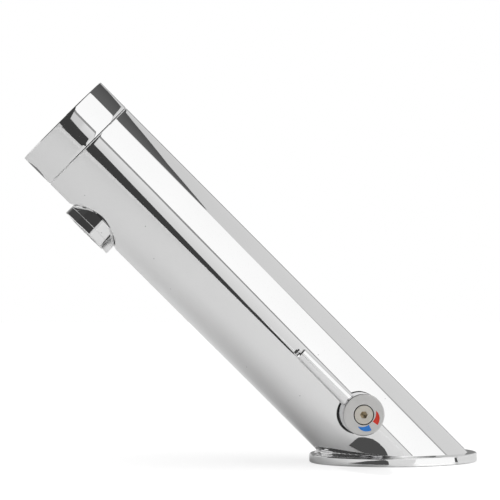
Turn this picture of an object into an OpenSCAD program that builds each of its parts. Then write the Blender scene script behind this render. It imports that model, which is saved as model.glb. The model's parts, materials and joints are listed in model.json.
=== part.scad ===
// Touchless basin tap: a leaning round tube on an oval foot, with a sensor in its head cap,
// an aerator under the tube, and a side knob with a lever rod that sets the temperature.
// Millimetres. The origin is the centre of the foot's underside and +Z is up.
// The tube leans towards -X and the knob is on the -Y side.
// Places along the tube count from the point where its axis meets the foot's underside.

/* [Tube] */
// Outside diameter of the tube and its cap
tube_d = 48.4; // [46:0.1:54]
// Wall of the hollow part of the tube
tube_wall = 3.2; // [2.4:0.1:3.4]
// Lean of the tube from upright, in degrees
lean = 45; // [42:1:48]
// Place of the seam between tube and cap
seam_at = 203.8; // [200:0.1:240]
// Solid metal from the knob's axis up to the floor of the hollow
floor_over_knob = 27.4; // [26:0.5:34]
// Bevel on both edges of the seam
seam_bevel = 0.35; // [0.1:0.05:0.8]

/* [Foot] */
// Thickness of the oval foot
foot_t = 4.1; // [3.8:0.1:7]
// How far the foot reaches past the tube at its front and back
foot_ledge_long = 4.5; // [4.4:0.1:8]
// How far the foot reaches past the tube at its sides
foot_ledge_side = 2.8; // [2.4:0.1:6]
// How far the tube's axis sits behind the foot's centre, on top of the foot
foot_setback = 0.3; // [0:0.1:2]
// Rounding of the foot's upper edge
foot_edge = 0.7; // [0.3:0.1:1.2]
// Bevel of the foot's lower edge
foot_bevel = 0.4; // [0.2:0.1:0.8]
// Radius of the blend between foot and tube
foot_blend = 1.2; // [0.8:0.1:1.6]

/* [Base connections] */
// Distance of both water inlets in front of the origin
inlet_x = 5; // [4:0.5:6]
// Distance of each water inlet from the middle plane
inlet_y = 7.5; // [7:0.25:8.5]
// Diameter of the tapped bores of the inlets
inlet_d = 9; // [8:0.1:9.6]
// Depth of the inlet bores
inlet_deep = 11; // [9:0.5:12]
// Distance of the fixing stud's hole behind the origin
stud_x = 9; // [8:0.5:12]
// Diameter of the tapped bore for the fixing stud
stud_d = 6.8; // [5:0.1:8.5]
// Depth of the stud's bore
stud_deep = 16; // [10:0.5:18]
// Place of the cable hole behind the origin
cable_x = 5; // [4:0.5:6]
// Place of the cable hole beside the middle plane
cable_y = 9.5; // [9:0.25:10.5]
// Diameter of the hole that holds the cable grommet
cable_hole_d = 6.4; // [5.6:0.1:6.8]
// Diameter of the passage through the grommet
cable_d = 4.2; // [3:0.1:4.6]
// Length of the grommet
grommet_len = 6; // [4:0.5:8]
// Distance of the sealing ring's middle inside the foot's side edge
base_ring_inside = 6; // [5:0.5:7]
// Thickness of the sealing ring under the foot
base_ring_t = 2.2; // [1.6:0.1:3]
// Diameter of the drilled water ways
way_d = 3.8; // [3:0.1:4]

/* [Outlet] */
// Distance of the outlet's axis below the seam
outlet_below_seam = 27.2; // [25:0.1:40]
// Outside diameter of the aerator ring
ring_d = 25.9; // [25.6:0.1:27]
// How far the aerator ring stands out of the tube
ring_out = 4.3; // [3:0.1:8]
// Gap round the aerator ring in its hole
ring_gap = 0.65; // [0.4:0.05:0.9]
// Rounding of the hole's rim
rim_round = 1.3; // [0.6:0.1:1.6]
// Thread diameter of the aerator
aerator_thread_d = 24; // [22:0.25:24]
// Length of the aerator's thread
aerator_thread_len = 5; // [4:0.25:5.5]
// Free diameter of the aerator's mouth
aerator_mouth_d = 20; // [17:0.25:20.5]
// Thickness of the aerator's washer
washer_t = 1.6; // [1:0.1:2]
// Diameter of the jets in the aerator's insert
jet_d = 1.7; // [1:0.1:2]
// Spacing of the jets
jet_pitch = 2.7; // [2.5:0.1:4]
// Outside diameter of the outlet pipe
pipe_d = 9; // [8:0.1:9.4]
// Wall of the outlet pipe
pipe_wall = 1; // [0.6:0.1:1.5]
// Gap between the outlet pipe and the coil
coil_pipe_gap = 1; // [0.8:0.1:1.4]

/* [Head] */
// Length of the head cap
cap_len = 16.7; // [15.5:0.1:24]
// Thickness of the cap's end
cap_end_t = 2.4; // [1.6:0.1:3]
// Rounding of the cap's end edge
cap_edge = 0.4; // [0.2:0.1:1]
// Height of the domed end of the cap
cap_dome = 0.45; // [0.1:0.05:0.8]
// Length of the cap's spigot inside the tube
spigot_len = 8; // [7:0.5:12]
// Diameter of the sensor window
window_d = 11; // [9:0.25:12]
// Distance of the window's centre from the cap's end
window_from_end = 8.2; // [7:0.1:8.6]
// Thickness of the sensor window
window_t = 4; // [2.5:0.25:5]
// Thickness of the circuit board
board_t = 1.6; // [1:0.1:2]
// Diameter of the emitter and of the receiver
eye_d = 3; // [2:0.1:3.4]
// Distance between the emitter and the receiver
eye_pitch = 5; // [4:0.1:6]

/* [Valve] */
// Length of the valve block along the tube
block_len = 18.6; // [18:0.2:24]
// Diameter of the coil
coil_d = 21; // [19:0.25:21.5]
// Gap between the coil and the tube's inside
coil_wall_gap = 1.5; // [1.2:0.05:1.7]
// Length of the coil
coil_len = 22.6; // [20:0.2:30]
// How much smaller the diaphragm's radius is than the coil's
diaphragm_inset = 0.5; // [0.4:0.05:1.5]
// Thickness of the diaphragm
diaphragm_t = 1.6; // [1:0.1:2]
// Diameter of the sliding plunger
plunger_d = 7.5; // [6:0.1:7.8]
// Length of the plunger
plunger_len = 13.4; // [11:0.2:16]
// Travel of the plunger
plunger_travel = 1.8; // [1:0.1:2]
// Wire of the plunger's spring
spring_wire = 0.5; // [0.3:0.05:0.6]
// Number of turns of the plunger's spring
spring_turns = 6; // [4:1:7]

/* [Mixing cartridge] */
// Place of the knob's axis along the tube
knob_at = 34.6; // [34:0.2:38]
// Outside diameter of the cartridge
cartridge_d = 16; // [15:0.1:16.4]
// Depth of the cartridge's floor on the near side of the middle plane
cartridge_floor = 5; // [4.5:0.1:5.6]
// Thickness of the fixed ceramic disc
fixed_disc_t = 2.8; // [2:0.1:3]
// Thickness of the moving ceramic disc
moving_disc_t = 2.5; // [2:0.1:2.8]
// Distance of the disc's ports from its middle
port_off = 4.6; // [4.4:0.1:4.9]
// Diameter of the spindle
spindle_d = 8; // [7:0.1:8.4]
// Largest turn of the lever to each side, in degrees
turn = 45; // [30:1:50]

/* [Knob and lever] */
// Diameter of the knob
knob_d = 18.6; // [17:0.1:20]
// Depth of the knob
knob_deep = 12.3; // [11.5:0.1:16]
// Gap between the tube's side and the knob
knob_lift = 0.5; // [0.4:0.1:1.5]
// Rounding of the knob's face
knob_edge = 0.5; // [0.2:0.1:1]
// Diameter of the ring behind the knob
shadow_ring_d = 19; // [18.8:0.1:20.6]
// Bevel of that ring's front edge
shadow_ring_bevel = 0.4; // [0.2:0.05:0.6]
// Head diameter of the countersunk screw
screw_head_d = 8.9; // [8.4:0.1:9.2]
// Shank diameter of the countersunk screw
screw_d = 5; // [4:0.1:5.2]
// Length of the screw
screw_len = 14; // [12:0.5:16]
// Width of the hexagon socket across its flats
hex_w = 3; // [2.5:0.1:3.4]
// Reach of the lever's tip from the knob's axis
lever_reach = 38.8; // [30:0.2:60]
// Depth of the lever's axis below the knob's face
lever_below_face = 5.8; // [5.5:0.1:6.2]
// Diameter of the lever at the knob
lever_root_d = 6.4; // [5.6:0.1:6.8]
// Diameter of the lever at its tip
lever_tip_d = 5.7; // [4.5:0.1:6.4]
// Bevel of the lever's tip
lever_tip_bevel = 0.6; // [0.2:0.1:1]
// Inner edge of the colour marks at their wide ends
mark_inner_r = 4.9; // [4.8:0.05:5.3]
// Outer edge of the colour marks
mark_outer_r = 7.6; // [7:0.1:8]
// Depth of the colour marks
mark_t = 0.3; // [0.2:0.05:0.6]

/* [Hidden] */
$fn = 96;

// Named clearances
seat_gap = 0.1;
run_gap = 0.05;
thread_gap = 0.05;
disc_gap = 0.04;
ring_seat_gap = 0.05;
roof_gap = 0.2;
stop_gap = 0.12;
cut_past = 1;

// Frame of the tube
tube_r = tube_d / 2;
bore_r = tube_r - tube_wall;
axis_x = foot_t * tan(lean) + foot_setback;
hollow_at = knob_at + floor_over_knob;
outlet_at = seam_at - outlet_below_seam;
cap_end_at = seam_at + cap_len;
window_at = cap_end_at - window_from_end;
coil_r = coil_d / 2;
coil_off = bore_r - coil_r - coil_wall_gap;
pipe_r = pipe_d / 2;
pipe_off = coil_r + pipe_r + coil_pipe_gap - coil_off;

// Foot
foot_half_long = tube_r / cos(lean) + foot_ledge_long;
foot_half_side = tube_r + foot_ledge_side;
ring_steps = 72;
blend_steps = 6;
edge_steps = 4;
blend_bite = 0.06;
rim_bite = 0.05;
base_groove_gap = 0.1;
base_ring_r = foot_half_side - base_ring_inside;

// Base connections
inlet_r = inlet_d / 2;
way_r = way_d / 2;
strainer_t = 0.8;
strainer_ledge = 0.5;
strainer_r = inlet_r - strainer_ledge;
way_over_strainer = 0.6;
mixed_way_r = way_r + 0.7;
way_start = inlet_deep + strainer_t - way_r + way_over_strainer;
cable_way_r = 2.6;
cable_over_inlet = 1.5;
cable_turn_z = inlet_deep + cable_over_inlet;
cable_notch_angle = 60;

// Outlet, counted outwards from the tube's axis
ring_r = ring_d / 2;
hole_r = ring_r + ring_gap;
ring_face = tube_r + ring_out;
neck_gap = 0.3;
neck_r = hole_r - neck_gap;
neck_sunk = 1;
neck_face = sqrt(pow(tube_r, 2) - pow(neck_r, 2)) - neck_sunk;
collar_gap = 0.2;
collar_start = neck_face + collar_gap;
thread_r = aerator_thread_d / 2;
shoulder = neck_face - aerator_thread_len - washer_t;
mouth_r = aerator_mouth_d / 2;
ring_lip = 1.1;
insert_ledge = 0.4;
insert_r = mouth_r + insert_ledge;
insert_t = 3;
screen_t = 0.6;
jet_edge = 1.5;
jet_rings = floor((mouth_r - jet_edge) / jet_pitch);
pipe_bore_r = pipe_r - pipe_wall;
chamber_r = 7;
chamber_top = pipe_off - pipe_r;
nozzle_wall = 1.5;
nozzle_top = chamber_top - nozzle_wall;
saddle_rim = 3.7;
saddle_r = neck_r + saddle_rim;
saddle_gap = 0.15;
nozzle_groove_at = 2.5;
pipe_end_gap = 1.1;
groove_slack = 0.2;
socket_deep = 6;
pipe_seal_r = 0.5;

// Head
spigot_r = bore_r - seat_gap;
spigot_wall = 3.9;
spigot_bore_r = spigot_r - spigot_wall;
spigot_bevel = 0.4;
cap_step = 3;
dome_steps = 8;
cap_wall = 3;
cap_seal_r = 0.9;
housing_r = spigot_bore_r - seat_gap;
window_r = window_d / 2;
window_back = tube_r - window_t;
window_gap = 0.3;
housing_front = window_back - window_gap;
board_sunk = 7.6;
board_front = window_back - board_sunk;
tray_wall = 1.9;
board_half_wide = sqrt(pow(housing_r, 2) - pow(board_front, 2)) - tray_wall;
tray_end_wall = 2;
tray_floor = 2;
eye_len = 2;

// Valve, counted from the floor of the hollow
block_gap = 0.4;
block_r = bore_r - block_gap;
notch_wall = 0.8;
cable_notch_r = block_r - cable_way_r - notch_wall;
seal_r = 0.9;
block_screw_r = 2;
screw_pan_r = 3.4;
screw_pan_t = 2.6;
screw_wall_gap = 0.4;
block_screw_off = bore_r - screw_pan_r - screw_wall_gap;
block_screw_angle = 110;
block_screw_deep = 9;
seal_land = 1.1;
seal_ring_r = block_screw_off - block_screw_r - seal_r - seal_land;
plenum_land = 2.2;
plenum_r = seal_ring_r - plenum_land;
plenum_t = 3.1;
diaphragm_r = coil_r - diaphragm_inset;
pocket_gap = 0.2;
pocket_r = diaphragm_r + pocket_gap;
pocket_deep = 4;
pocket_floor = block_len - pocket_deep;
riser_r = 1.9;
riser_angle = 113;
annulus_rim = 1.6;
annulus_out = pocket_r - annulus_rim;
annulus_in = 4.4;
riser_off = (annulus_out + annulus_in) / 2;
annulus_deep = 3.8;
valve_seat_r = 3;
cross_way_r = 2.6;
cross_way_at = 7;
stack_gap = 0.15;
guide_start = pocket_floor + diaphragm_t + stack_gap;
pilot_deep = 1.9;
pilot_rim = 2;
flange_t = 1.4;
boss_t = 1;
plunger_r = plunger_d / 2;
guide_bore_r = plunger_r + run_gap;
guide_wall = 0.8;
guide_r = guide_bore_r + guide_wall;
plunger_start = pocket_floor + diaphragm_t + boss_t + stack_gap;
plunger_end = plunger_start + plunger_len;
plunger_stop_gap = 0.4;
guide_bore_end = plunger_end + plunger_travel + plunger_stop_gap;
guide_flange_end = guide_start + pilot_deep + flange_t;
coil_start = guide_flange_end + seat_gap;
coil_end = coil_start + coil_len;
guide_end_gap = 0.3;
stem_r = 2.5;
nut_t = 3.5;
stem_past_nut = 2.4;
nut_w = 13;
tab_foot = [4, 7, 7];
tab_foot_in = 4;
tab_foot_below = 9;
coil_band = 1.2;
coil_band_in = 3.2;
coil_band_deep = 0.8;
water_slot_r = 0.6;
web_land = 0.5;
spring_r = 2;
spring_side_gap = 0.2;
spring_bore_r = spring_r + spring_wire / 2 + spring_side_gap;
spring_bore_deep = 6;
spring_start = plunger_end - spring_bore_deep + spring_wire / 2 + seat_gap;
spring_end = guide_bore_end - spring_wire / 2 - seat_gap;

// Cartridge, counted outwards from the middle plane
cartridge_r = cartridge_d / 2;
chamber_bore_r = cartridge_r + seat_gap;
gasket_t = 0.8;
fixed_start = cartridge_floor + gasket_t + disc_gap;
fixed_end = fixed_start + fixed_disc_t;
moving_start = fixed_end + disc_gap;
moving_end = moving_start + moving_disc_t;
housing_wall = 0.8;
disc_r = cartridge_r - housing_wall - seat_gap;
drive_t = 2;
drive_start = moving_end + disc_gap;
drive_end = drive_start + drive_t;
housing_cavity_r = disc_r + seat_gap;
housing_roof = drive_end + roof_gap;
housing_roof_t = 3.6;
housing_end = housing_roof + housing_roof_t;
nut_start = housing_end + seat_gap;
gland_t = 3.6;
gland_ledge = 1.1;
gland_r = cartridge_r + gland_ledge;
gland_bore_gap = 0.3;
gland_key_r = 1;
gland_key_floor = 1.6;
shadow_start = nut_start + gland_t + seat_gap;
knob_back = tube_r + knob_lift;
knob_face = knob_back + knob_deep;
shadow_gap = 0.25;
shadow_end = knob_back - shadow_gap;
shadow_bore_gap = 0.6;
knob_r = knob_d / 2;
knob_foot = 0.4;
spindle_r = spindle_d / 2;
spindle_run_r = spindle_r + run_gap;
spindle_grip = 7;
spindle_end = knob_back + spindle_grip;
spindle_flat = 0.8;
stem_seal_r = 0.65;
stem_seal_at = housing_roof + housing_roof_t / 2;
port_r = 1.8;
port_lead = 3;
mixed_y = 2;
stop_r = 0.9;
stop_lift = 0.3;
stop_spare = 1.5;
stop_off = 5.6;
key_w = 2;
key_t = 1;
dog_w = 2;
dog_deep = 1;
screw_head_r = screw_head_d / 2;
screw_r = screw_d / 2;
head_land = 0.4;
head_t = head_land + screw_head_r - screw_r;
screw_sunk = 0.05;
screw_face = knob_face - screw_sunk;
head_gap = 0.15;
hex_deep = 2.2;
screw_end = screw_face - screw_len;
lever_at = knob_face - lever_below_face;
lever_spigot_r = 2.4;
lever_wall = 0.5;
lever_end_gap = 0.2;
mark_middle = -95;
mark_from = 13;
mark_to = 68;
mark_gap = 0.03;
mark_tip_r = 5.7;

CHROME = [0.82, 0.83, 0.84];
SATIN = [0.72, 0.72, 0.72];
STEEL = [0.66, 0.65, 0.62];
BRASS = [0.78, 0.62, 0.32];
RUBBER = [0.09, 0.09, 0.1];
BLACK = [0.06, 0.06, 0.07];
PLASTIC = [0.85, 0.85, 0.82];
CERAMIC = [0.93, 0.92, 0.88];
BOARD = [0.08, 0.35, 0.2];
RED = [0.7, 0.2, 0.16];
BLUE = [0.2, 0.44, 0.72];

// Frames: x is the tube's upper side, y the far side and z runs up along the tube's axis
module on_tube(at = 0) {
    translate([axis_x, 0, 0]) rotate([0, -lean, 0]) translate([0, 0, at]) children();
}

// z points out of the tube's underside and x runs up along the tube
module under_tube(at) {
    on_tube(at) rotate([0, -90, 0]) children();
}

// z points out of the tube's near side, y runs up along the tube and x is its upper side
module at_knob() {
    on_tube(knob_at) rotate([90, 0, 0]) children();
}

// A point given in the tube's frame, in the frame of the whole tap
function tube_point(p) = [
    axis_x + p[0] * cos(lean) - p[2] * sin(lean),
    p[1],
    p[0] * sin(lean) + p[2] * cos(lean)
];

module tube_ring(r_out, r_in, t) {
    difference() {
        cylinder(h = t, r = r_out);
        translate([0, 0, -1]) cylinder(h = t + 2, r = r_in);
    }
}

module o_ring(ring_r, section_r) {
    rotate_extrude() translate([ring_r, 0]) circle(r = section_r, $fn = 32);
}

// A round way drilled from one point to another, a little past both
module drilling(a, b, r, past = 0.5) {
    run = b - a;
    flat = norm([run[0], run[1]]);
    translate(a)
        rotate([0, atan2(flat, run[2]), atan2(run[1], run[0])])
            translate([0, 0, -past]) cylinder(h = norm(run) + 2 * past, r = r);
}

// Faces of a stack of rings that turn anticlockwise round their way, closed by two end points
function ring_faces(rings, count) = concat(
    [for (k = [0:count - 1]) [0, 1 + k, 1 + (k + 1) % count]],
    [for (i = [0:rings - 2], k = [0:count - 1])
        let (a = 1 + i * count + k, b = 1 + i * count + (k + 1) % count)
        [a, b + count, b]],
    [for (i = [0:rings - 2], k = [0:count - 1])
        let (a = 1 + i * count + k, b = 1 + i * count + (k + 1) % count)
        [a, a + count, b + count]],
    [for (k = [0:count - 1])
        let (last = 1 + (rings - 1) * count)
        [last + k, last + count, last + (k + 1) % count]]
);

// Faces of a closed tube of rings, the last joined to the first
function loop_faces(rings, count) = concat(
    [for (i = [0:rings - 1], k = [0:count - 1])
        let (j = (i + 1) % rings, m = (k + 1) % count)
        [i * count + k, i * count + m, j * count + m]],
    [for (i = [0:rings - 1], k = [0:count - 1])
        let (j = (i + 1) % rings, m = (k + 1) % count)
        [i * count + k, j * count + m, j * count + k]]
);

// A direction between two unit directions, with u from 0 to 1
function between(a, b, u) = let (angle = acos(a * b))
    (a * sin((1 - u) * angle) + b * sin(u * angle)) / sin(angle);

// The oval of the foot, moved inwards along its own normal
function oval_point(t, inset, z) = let (
    normal = [cos(t) / foot_half_long, sin(t) / foot_half_side],
    unit = normal / norm(normal)
) [foot_half_long * cos(t) - inset * unit[0], foot_half_side * sin(t) - inset * unit[1], z];

// Centre of the ball that rolls in the corner between foot and tube
function blend_centre(t) = let (
    r = tube_r + foot_blend - blend_bite,
    side = r * cos(t),
    along = (foot_t + foot_blend - side * sin(lean)) / cos(lean)
) tube_point([side, r * sin(t), along]);

// Direction from the ball's centre to the tube's axis
function blend_inward(t) = [-cos(t) * cos(lean), -sin(t), -cos(t) * sin(lean)];

function blend_point(t, u) =
    blend_centre(t) + foot_blend * between([0, 0, -1], blend_inward(t), u);

// The oval foot with its rounded edge and the rolling blend up to the tube
module foot() {
    turns = [for (k = [0:ring_steps - 1]) k * 360 / ring_steps];
    edge = [for (i = [0:edge_steps]) i * 90 / edge_steps];
    rings = concat(
        [[for (t = turns) oval_point(t, foot_bevel, 0)]],
        [[for (t = turns) oval_point(t, 0, foot_bevel)]],
        [for (e = edge) [for (t = turns)
            oval_point(t, foot_edge * (1 - cos(e)), foot_t - foot_edge * (1 - sin(e)))]],
        [for (i = [0:blend_steps]) [for (t = turns) blend_point(t, i / blend_steps)]],
        [[for (t = turns) blend_point(t, 1) + 0.4 * blend_inward(t)]]
    );
    points = concat(
        [[0, 0, 0]],
        [for (ring = rings) each ring],
        [[0, 0, foot_t + foot_blend]]
    );
    polyhedron(points = points, faces = ring_faces(len(rings), ring_steps), convexity = 4);
}

// What the rounding takes off the rim of the outlet's hole
module rim_cutter() {
    q = rim_round;
    turns = [for (k = [0:4:356]) k];
    steps = 5;
    points = [for (t = turns)
        let (
            v = (hole_r + q) * sin(t),
            w = sqrt(pow(tube_r - q, 2) - v * v),
            centre = [(hole_r + q) * cos(t), v, w],
            to_hole = [-cos(t), -sin(t), 0],
            to_tube = [0, v, w] / (tube_r - q),
            past_corner = 1.3 * q / cos(acos(to_hole * to_tube) / 2)
        )
        each concat(
            [centre + past_corner * between(to_hole, to_tube, 0.5)],
            [for (i = [0:steps]) centre + (q + rim_bite) * between(to_hole, to_tube, i / steps)]
        )
    ];
    polyhedron(points = points, faces = loop_faces(len(turns), steps + 2), convexity = 6);
}

module tube_shell() {
    intersection() {
        on_tube(-tube_r - foot_t) {
            cylinder(h = seam_at + tube_r + foot_t - seam_bevel, r = tube_r);
            translate([0, 0, seam_at + tube_r + foot_t - seam_bevel])
                cylinder(h = seam_bevel, r1 = tube_r, r2 = tube_r - seam_bevel);
        }
        translate([-2 * cap_end_at, -tube_d, foot_t / 2])
            cube([4 * cap_end_at, 2 * tube_d, 2 * cap_end_at]);
    }
}

// The bore that holds the mixing cartridge, with its gland thread and the ring's seat
module cartridge_bore() {
    at_knob() {
        translate([0, 0, cartridge_floor])
            cylinder(h = tube_r, r = chamber_bore_r);
        translate([0, 0, nut_start - seat_gap])
            cylinder(h = tube_r, r = gland_r + thread_gap);
        translate([0, 0, shadow_start - seat_gap])
            cylinder(h = tube_r, r = shadow_ring_d / 2 + seat_gap);
    }
}

// Drilled ways: two inlets to the cartridge, and the mixed way up to the valve
module water_ways() {
    port_deep = cartridge_floor - port_lead;
    for (side = [-1, 1]) {
        start = [-inlet_x, side * inlet_y, way_start];
        end = tube_point([side * port_off, -port_deep, knob_at]);
        drilling(start, end, way_r, 0);
        at_knob() translate([side * port_off, 0, port_deep])
            cylinder(h = cartridge_floor, r = port_r);
    }
    at_knob() translate([0, 0, -mixed_y])
        cylinder(h = cartridge_floor + mixed_y + cut_past, r = port_r);
    drilling(
        tube_point([0, mixed_y, knob_at - port_r]),
        tube_point([0, mixed_y, hollow_at + cut_past]),
        mixed_way_r, 0
    );
}

module base_holes() {
    for (side = [-1, 1])
        translate([-inlet_x, side * inlet_y, -1]) {
            cylinder(h = inlet_deep + 1, r = inlet_r);
            cylinder(h = inlet_deep + strainer_t + seat_gap + 1, r = strainer_r + thread_gap);
        }
    translate([stud_x, 0, -1]) cylinder(h = stud_deep + 1, r = stud_d / 2);
    translate([cable_x, cable_y, -1]) cylinder(h = cable_turn_z + 1, r = cable_hole_d / 2);
    drilling(
        [cable_x, cable_y, cable_turn_z - cable_way_r],
        tube_point(concat(cable_notch(), [hollow_at + 1])),
        cable_way_r, 0
    );
    translate([0, 0, -1])
        tube_ring(base_ring_r + base_ring_t / 2 + base_groove_gap,
                  base_ring_r - base_ring_t / 2 - base_groove_gap,
                  base_ring_t + base_groove_gap + 1);
}

function cable_notch() = [
    cable_notch_r * cos(cable_notch_angle),
    cable_notch_r * sin(cable_notch_angle)
];

module block_screw_places() {
    for (side = [-1, 1])
        rotate([0, 0, side * block_screw_angle])
            translate([block_screw_off, 0, 0]) children();
}

module spout_body() {
    color(CHROME) difference() {
        union() {
            foot();
            tube_shell();
        }
        on_tube(hollow_at) cylinder(h = seam_at, r = bore_r);
        under_tube(outlet_at) cylinder(h = tube_r * 2, r = hole_r);
        under_tube(outlet_at) rim_cutter();
        cartridge_bore();
        water_ways();
        base_holes();
        on_tube(hollow_at - block_screw_deep - 1) block_screw_places()
            cylinder(h = block_screw_deep + 2, r = block_screw_r + thread_gap);
    }
}

module base_seal() {
    color(RUBBER) translate([0, 0, base_ring_t / 2]) o_ring(base_ring_r, base_ring_t / 2);
}

module cable_grommet() {
    color(RUBBER) translate([cable_x, cable_y, 0])
        tube_ring(cable_hole_d / 2 - seat_gap / 2, cable_d / 2, grommet_len);
}

// Fine discs of mesh at the inner ends of both inlets
module inlet_strainers() {
    color(STEEL)
        for (side = [-1, 1])
            translate([-inlet_x, side * inlet_y, inlet_deep + 0.05])
                difference() {
                    cylinder(h = strainer_t, r = strainer_r);
                    translate([0, 0, -1])
                        ring_of_holes(strainer_r / 8, strainer_r / 2.8, 2, strainer_t + 2);
                }
}

module head_cap() {
    rim_at = cap_len - cap_dome;
    dome_r = tube_r - cap_edge;
    edge = [for (e = [0:15:90]) [
        tube_r - cap_edge * (1 - cos(e)),
        rim_at - cap_edge * (1 - sin(e))
    ]];
    dome = [for (i = [1:dome_steps]) [
        dome_r * (1 - i / dome_steps),
        cap_len - cap_dome * pow(1 - i / dome_steps, 2)
    ]];
    color(CHROME) difference() {
        on_tube(seam_at) rotate_extrude() polygon(concat(
            [[spigot_bore_r, -spigot_len], [spigot_r - spigot_bevel, -spigot_len],
             [spigot_r, spigot_bevel - spigot_len], [spigot_r, seat_gap / 2],
             [tube_r - seam_bevel, seat_gap / 2], [tube_r, seam_bevel + seat_gap / 2]],
            edge,
            dome,
            [[0, cap_len - cap_end_t],
             [tube_r - cap_wall, cap_len - cap_end_t],
             [tube_r - cap_wall, cap_len - cap_end_t - cap_step],
             [spigot_bore_r, cap_len - cap_end_t - 2 * cap_step]]
        ));
        on_tube(seam_at - spigot_len / 2 - cap_seal_r - seat_gap)
            tube_ring(bore_r + cut_past, bore_r - 2 * cap_seal_r - seat_gap,
                      2 * cap_seal_r + 2 * seat_gap);
        under_tube(window_at) cylinder(h = tube_d, r = window_r + run_gap);
    }
}

module cap_seal() {
    color(RUBBER) on_tube(seam_at - spigot_len / 2)
        o_ring(bore_r - cap_seal_r - 0.05, cap_seal_r);
}

// The window is turned to the tube's own outside
module sensor_window() {
    color([0.1, 0.09, 0.12]) intersection() {
        on_tube(0) cylinder(h = cap_end_at, r = tube_r);
        under_tube(window_at) translate([0, 0, window_back])
            cylinder(h = tube_r, r = window_r);
    }
}

// A tray behind the window that holds the board by its edges
module sensor_housing() {
    far = seam_at - spigot_len + spigot_bevel;
    near = cap_end_at - cap_end_t - window_gap;
    color(BLACK) difference() {
        intersection() {
            on_tube(far) cylinder(h = near - far, r = housing_r);
            under_tube(0) translate([far, -housing_r, 0])
                cube([near - far, 2 * housing_r, housing_front]);
        }
        under_tube(0)
            translate([far + tray_end_wall, -board_half_wide - seat_gap, tray_floor])
                cube([near - far - 2 * tray_end_wall, 2 * (board_half_wide + seat_gap),
                      board_front + seat_gap - tray_floor]);
        under_tube(window_at) for (side = [-1, 1])
            translate([0, side * eye_pitch / 2, tray_floor])
                cylinder(h = tube_r, r = eye_d / 2 + seat_gap);
    }
}

module sensor_board() {
    far = seam_at - spigot_len + spigot_bevel + tray_end_wall + seat_gap;
    near = cap_end_at - cap_end_t - window_gap - tray_end_wall - seat_gap;
    color(BOARD) under_tube(0) translate([far, -board_half_wide, board_front - board_t])
        cube([near - far, 2 * board_half_wide, board_t]);
}

// A small round diode with a domed front, standing on the board
module eye(side) {
    under_tube(window_at) translate([0, side * eye_pitch / 2, board_front + seat_gap / 2]) {
        cylinder(h = eye_len, r = eye_d / 2);
        translate([0, 0, eye_len]) intersection() {
            sphere(r = eye_d / 2, $fn = 32);
            cylinder(h = eye_d * 0.4, r = eye_d);
        }
    }
}

module infrared_emitter() {
    color([0.75, 0.78, 0.85]) eye(1);
}

module infrared_receiver() {
    color([0.1, 0.08, 0.1]) eye(-1);
}

// The groove of an O-ring round the outlet pipe
module pipe_seal_groove() {
    t = 2 * pipe_seal_r + groove_slack;
    translate([0, 0, -t / 2]) cylinder(h = t, r = pipe_r + 2 * pipe_seal_r + seat_gap);
}

// The brass nozzle lies in the tube like a saddle and its neck stands in the tube's hole
module outlet_nozzle() {
    color(BLACK) difference() {
        union() {
            intersection() {
                under_tube(outlet_at) translate([0, 0, nozzle_top])
                    cylinder(h = tube_r, r = saddle_r);
                on_tube(0) cylinder(h = seam_at, r = bore_r - saddle_gap);
            }
            under_tube(outlet_at) translate([0, 0, shoulder])
                cylinder(h = neck_face - shoulder, r = neck_r);
        }
        under_tube(outlet_at) {
            translate([0, 0, chamber_top]) cylinder(h = tube_r, r = chamber_r);
            translate([0, 0, shoulder]) cylinder(h = tube_r, r = thread_r);
            translate([0, 0, neck_face]) cylinder(h = tube_r, r = saddle_r + cut_past);
        }
        on_tube(outlet_at - saddle_r - cut_past) translate([-pipe_off, 0, 0]) {
            cylinder(h = saddle_r + cut_past, r = pipe_bore_r);
            cylinder(h = socket_deep + cut_past, r = pipe_r + seat_gap);
        }
        on_tube(upper_seal_at) translate([-pipe_off, 0, 0]) pipe_seal_groove();
    }
}

pipe_from = hollow_at + block_len - socket_deep + seat_gap;
pipe_to = outlet_at - saddle_r + socket_deep - pipe_end_gap;
lower_seal_at = hollow_at + block_len - socket_deep / 2;
upper_seal_at = outlet_at - saddle_r + nozzle_groove_at + groove_slack / 2 + pipe_seal_r;

module outlet_pipe() {
    color(STEEL) on_tube(pipe_from) translate([-pipe_off, 0, 0])
        tube_ring(pipe_r, pipe_bore_r, pipe_to - pipe_from);
}

module pipe_seals() {
    color(RUBBER)
        for (at = [lower_seal_at, upper_seal_at])
            on_tube(at) translate([-pipe_off, 0, 0])
                o_ring(pipe_r + pipe_seal_r + 0.04, pipe_seal_r);
}

module aerator_ring() {
    bevel = 0.5;
    color(CHROME) under_tube(outlet_at) rotate_extrude() polygon([
        [thread_r - 1.3, shoulder + washer_t + seat_gap],
        [thread_r - thread_gap, shoulder + washer_t + seat_gap],
        [thread_r - thread_gap, collar_start],
        [ring_r - 0.3, collar_start],
        [ring_r, collar_start + 0.3],
        [ring_r, ring_face - bevel],
        [ring_r - bevel * 0.4, ring_face - bevel * 0.1],
        [ring_r - bevel, ring_face],
        [mouth_r + 0.3, ring_face],
        [mouth_r, ring_face - 0.3],
        [mouth_r, ring_face - ring_lip],
        [insert_r + seat_gap, ring_face - ring_lip],
        [insert_r + seat_gap, shoulder + washer_t + 2]
    ]);
}

module aerator_washer() {
    color(RUBBER) under_tube(outlet_at) translate([0, 0, shoulder + 0.05])
        tube_ring(thread_r - 0.4, chamber_r + 0.5, washer_t);
}

insert_start = ring_face - ring_lip - seat_gap - insert_t;

// Rows of holes in rings, and one in the middle
module ring_of_holes(r, pitch, rings, deep) {
    cylinder(h = deep, r = r, $fn = 24);
    for (i = [1:rings], k = [0:6 * i - 1])
        rotate([0, 0, k * 60 / i]) translate([i * pitch, 0, 0])
            cylinder(h = deep, r = r, $fn = 24);
}

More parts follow.
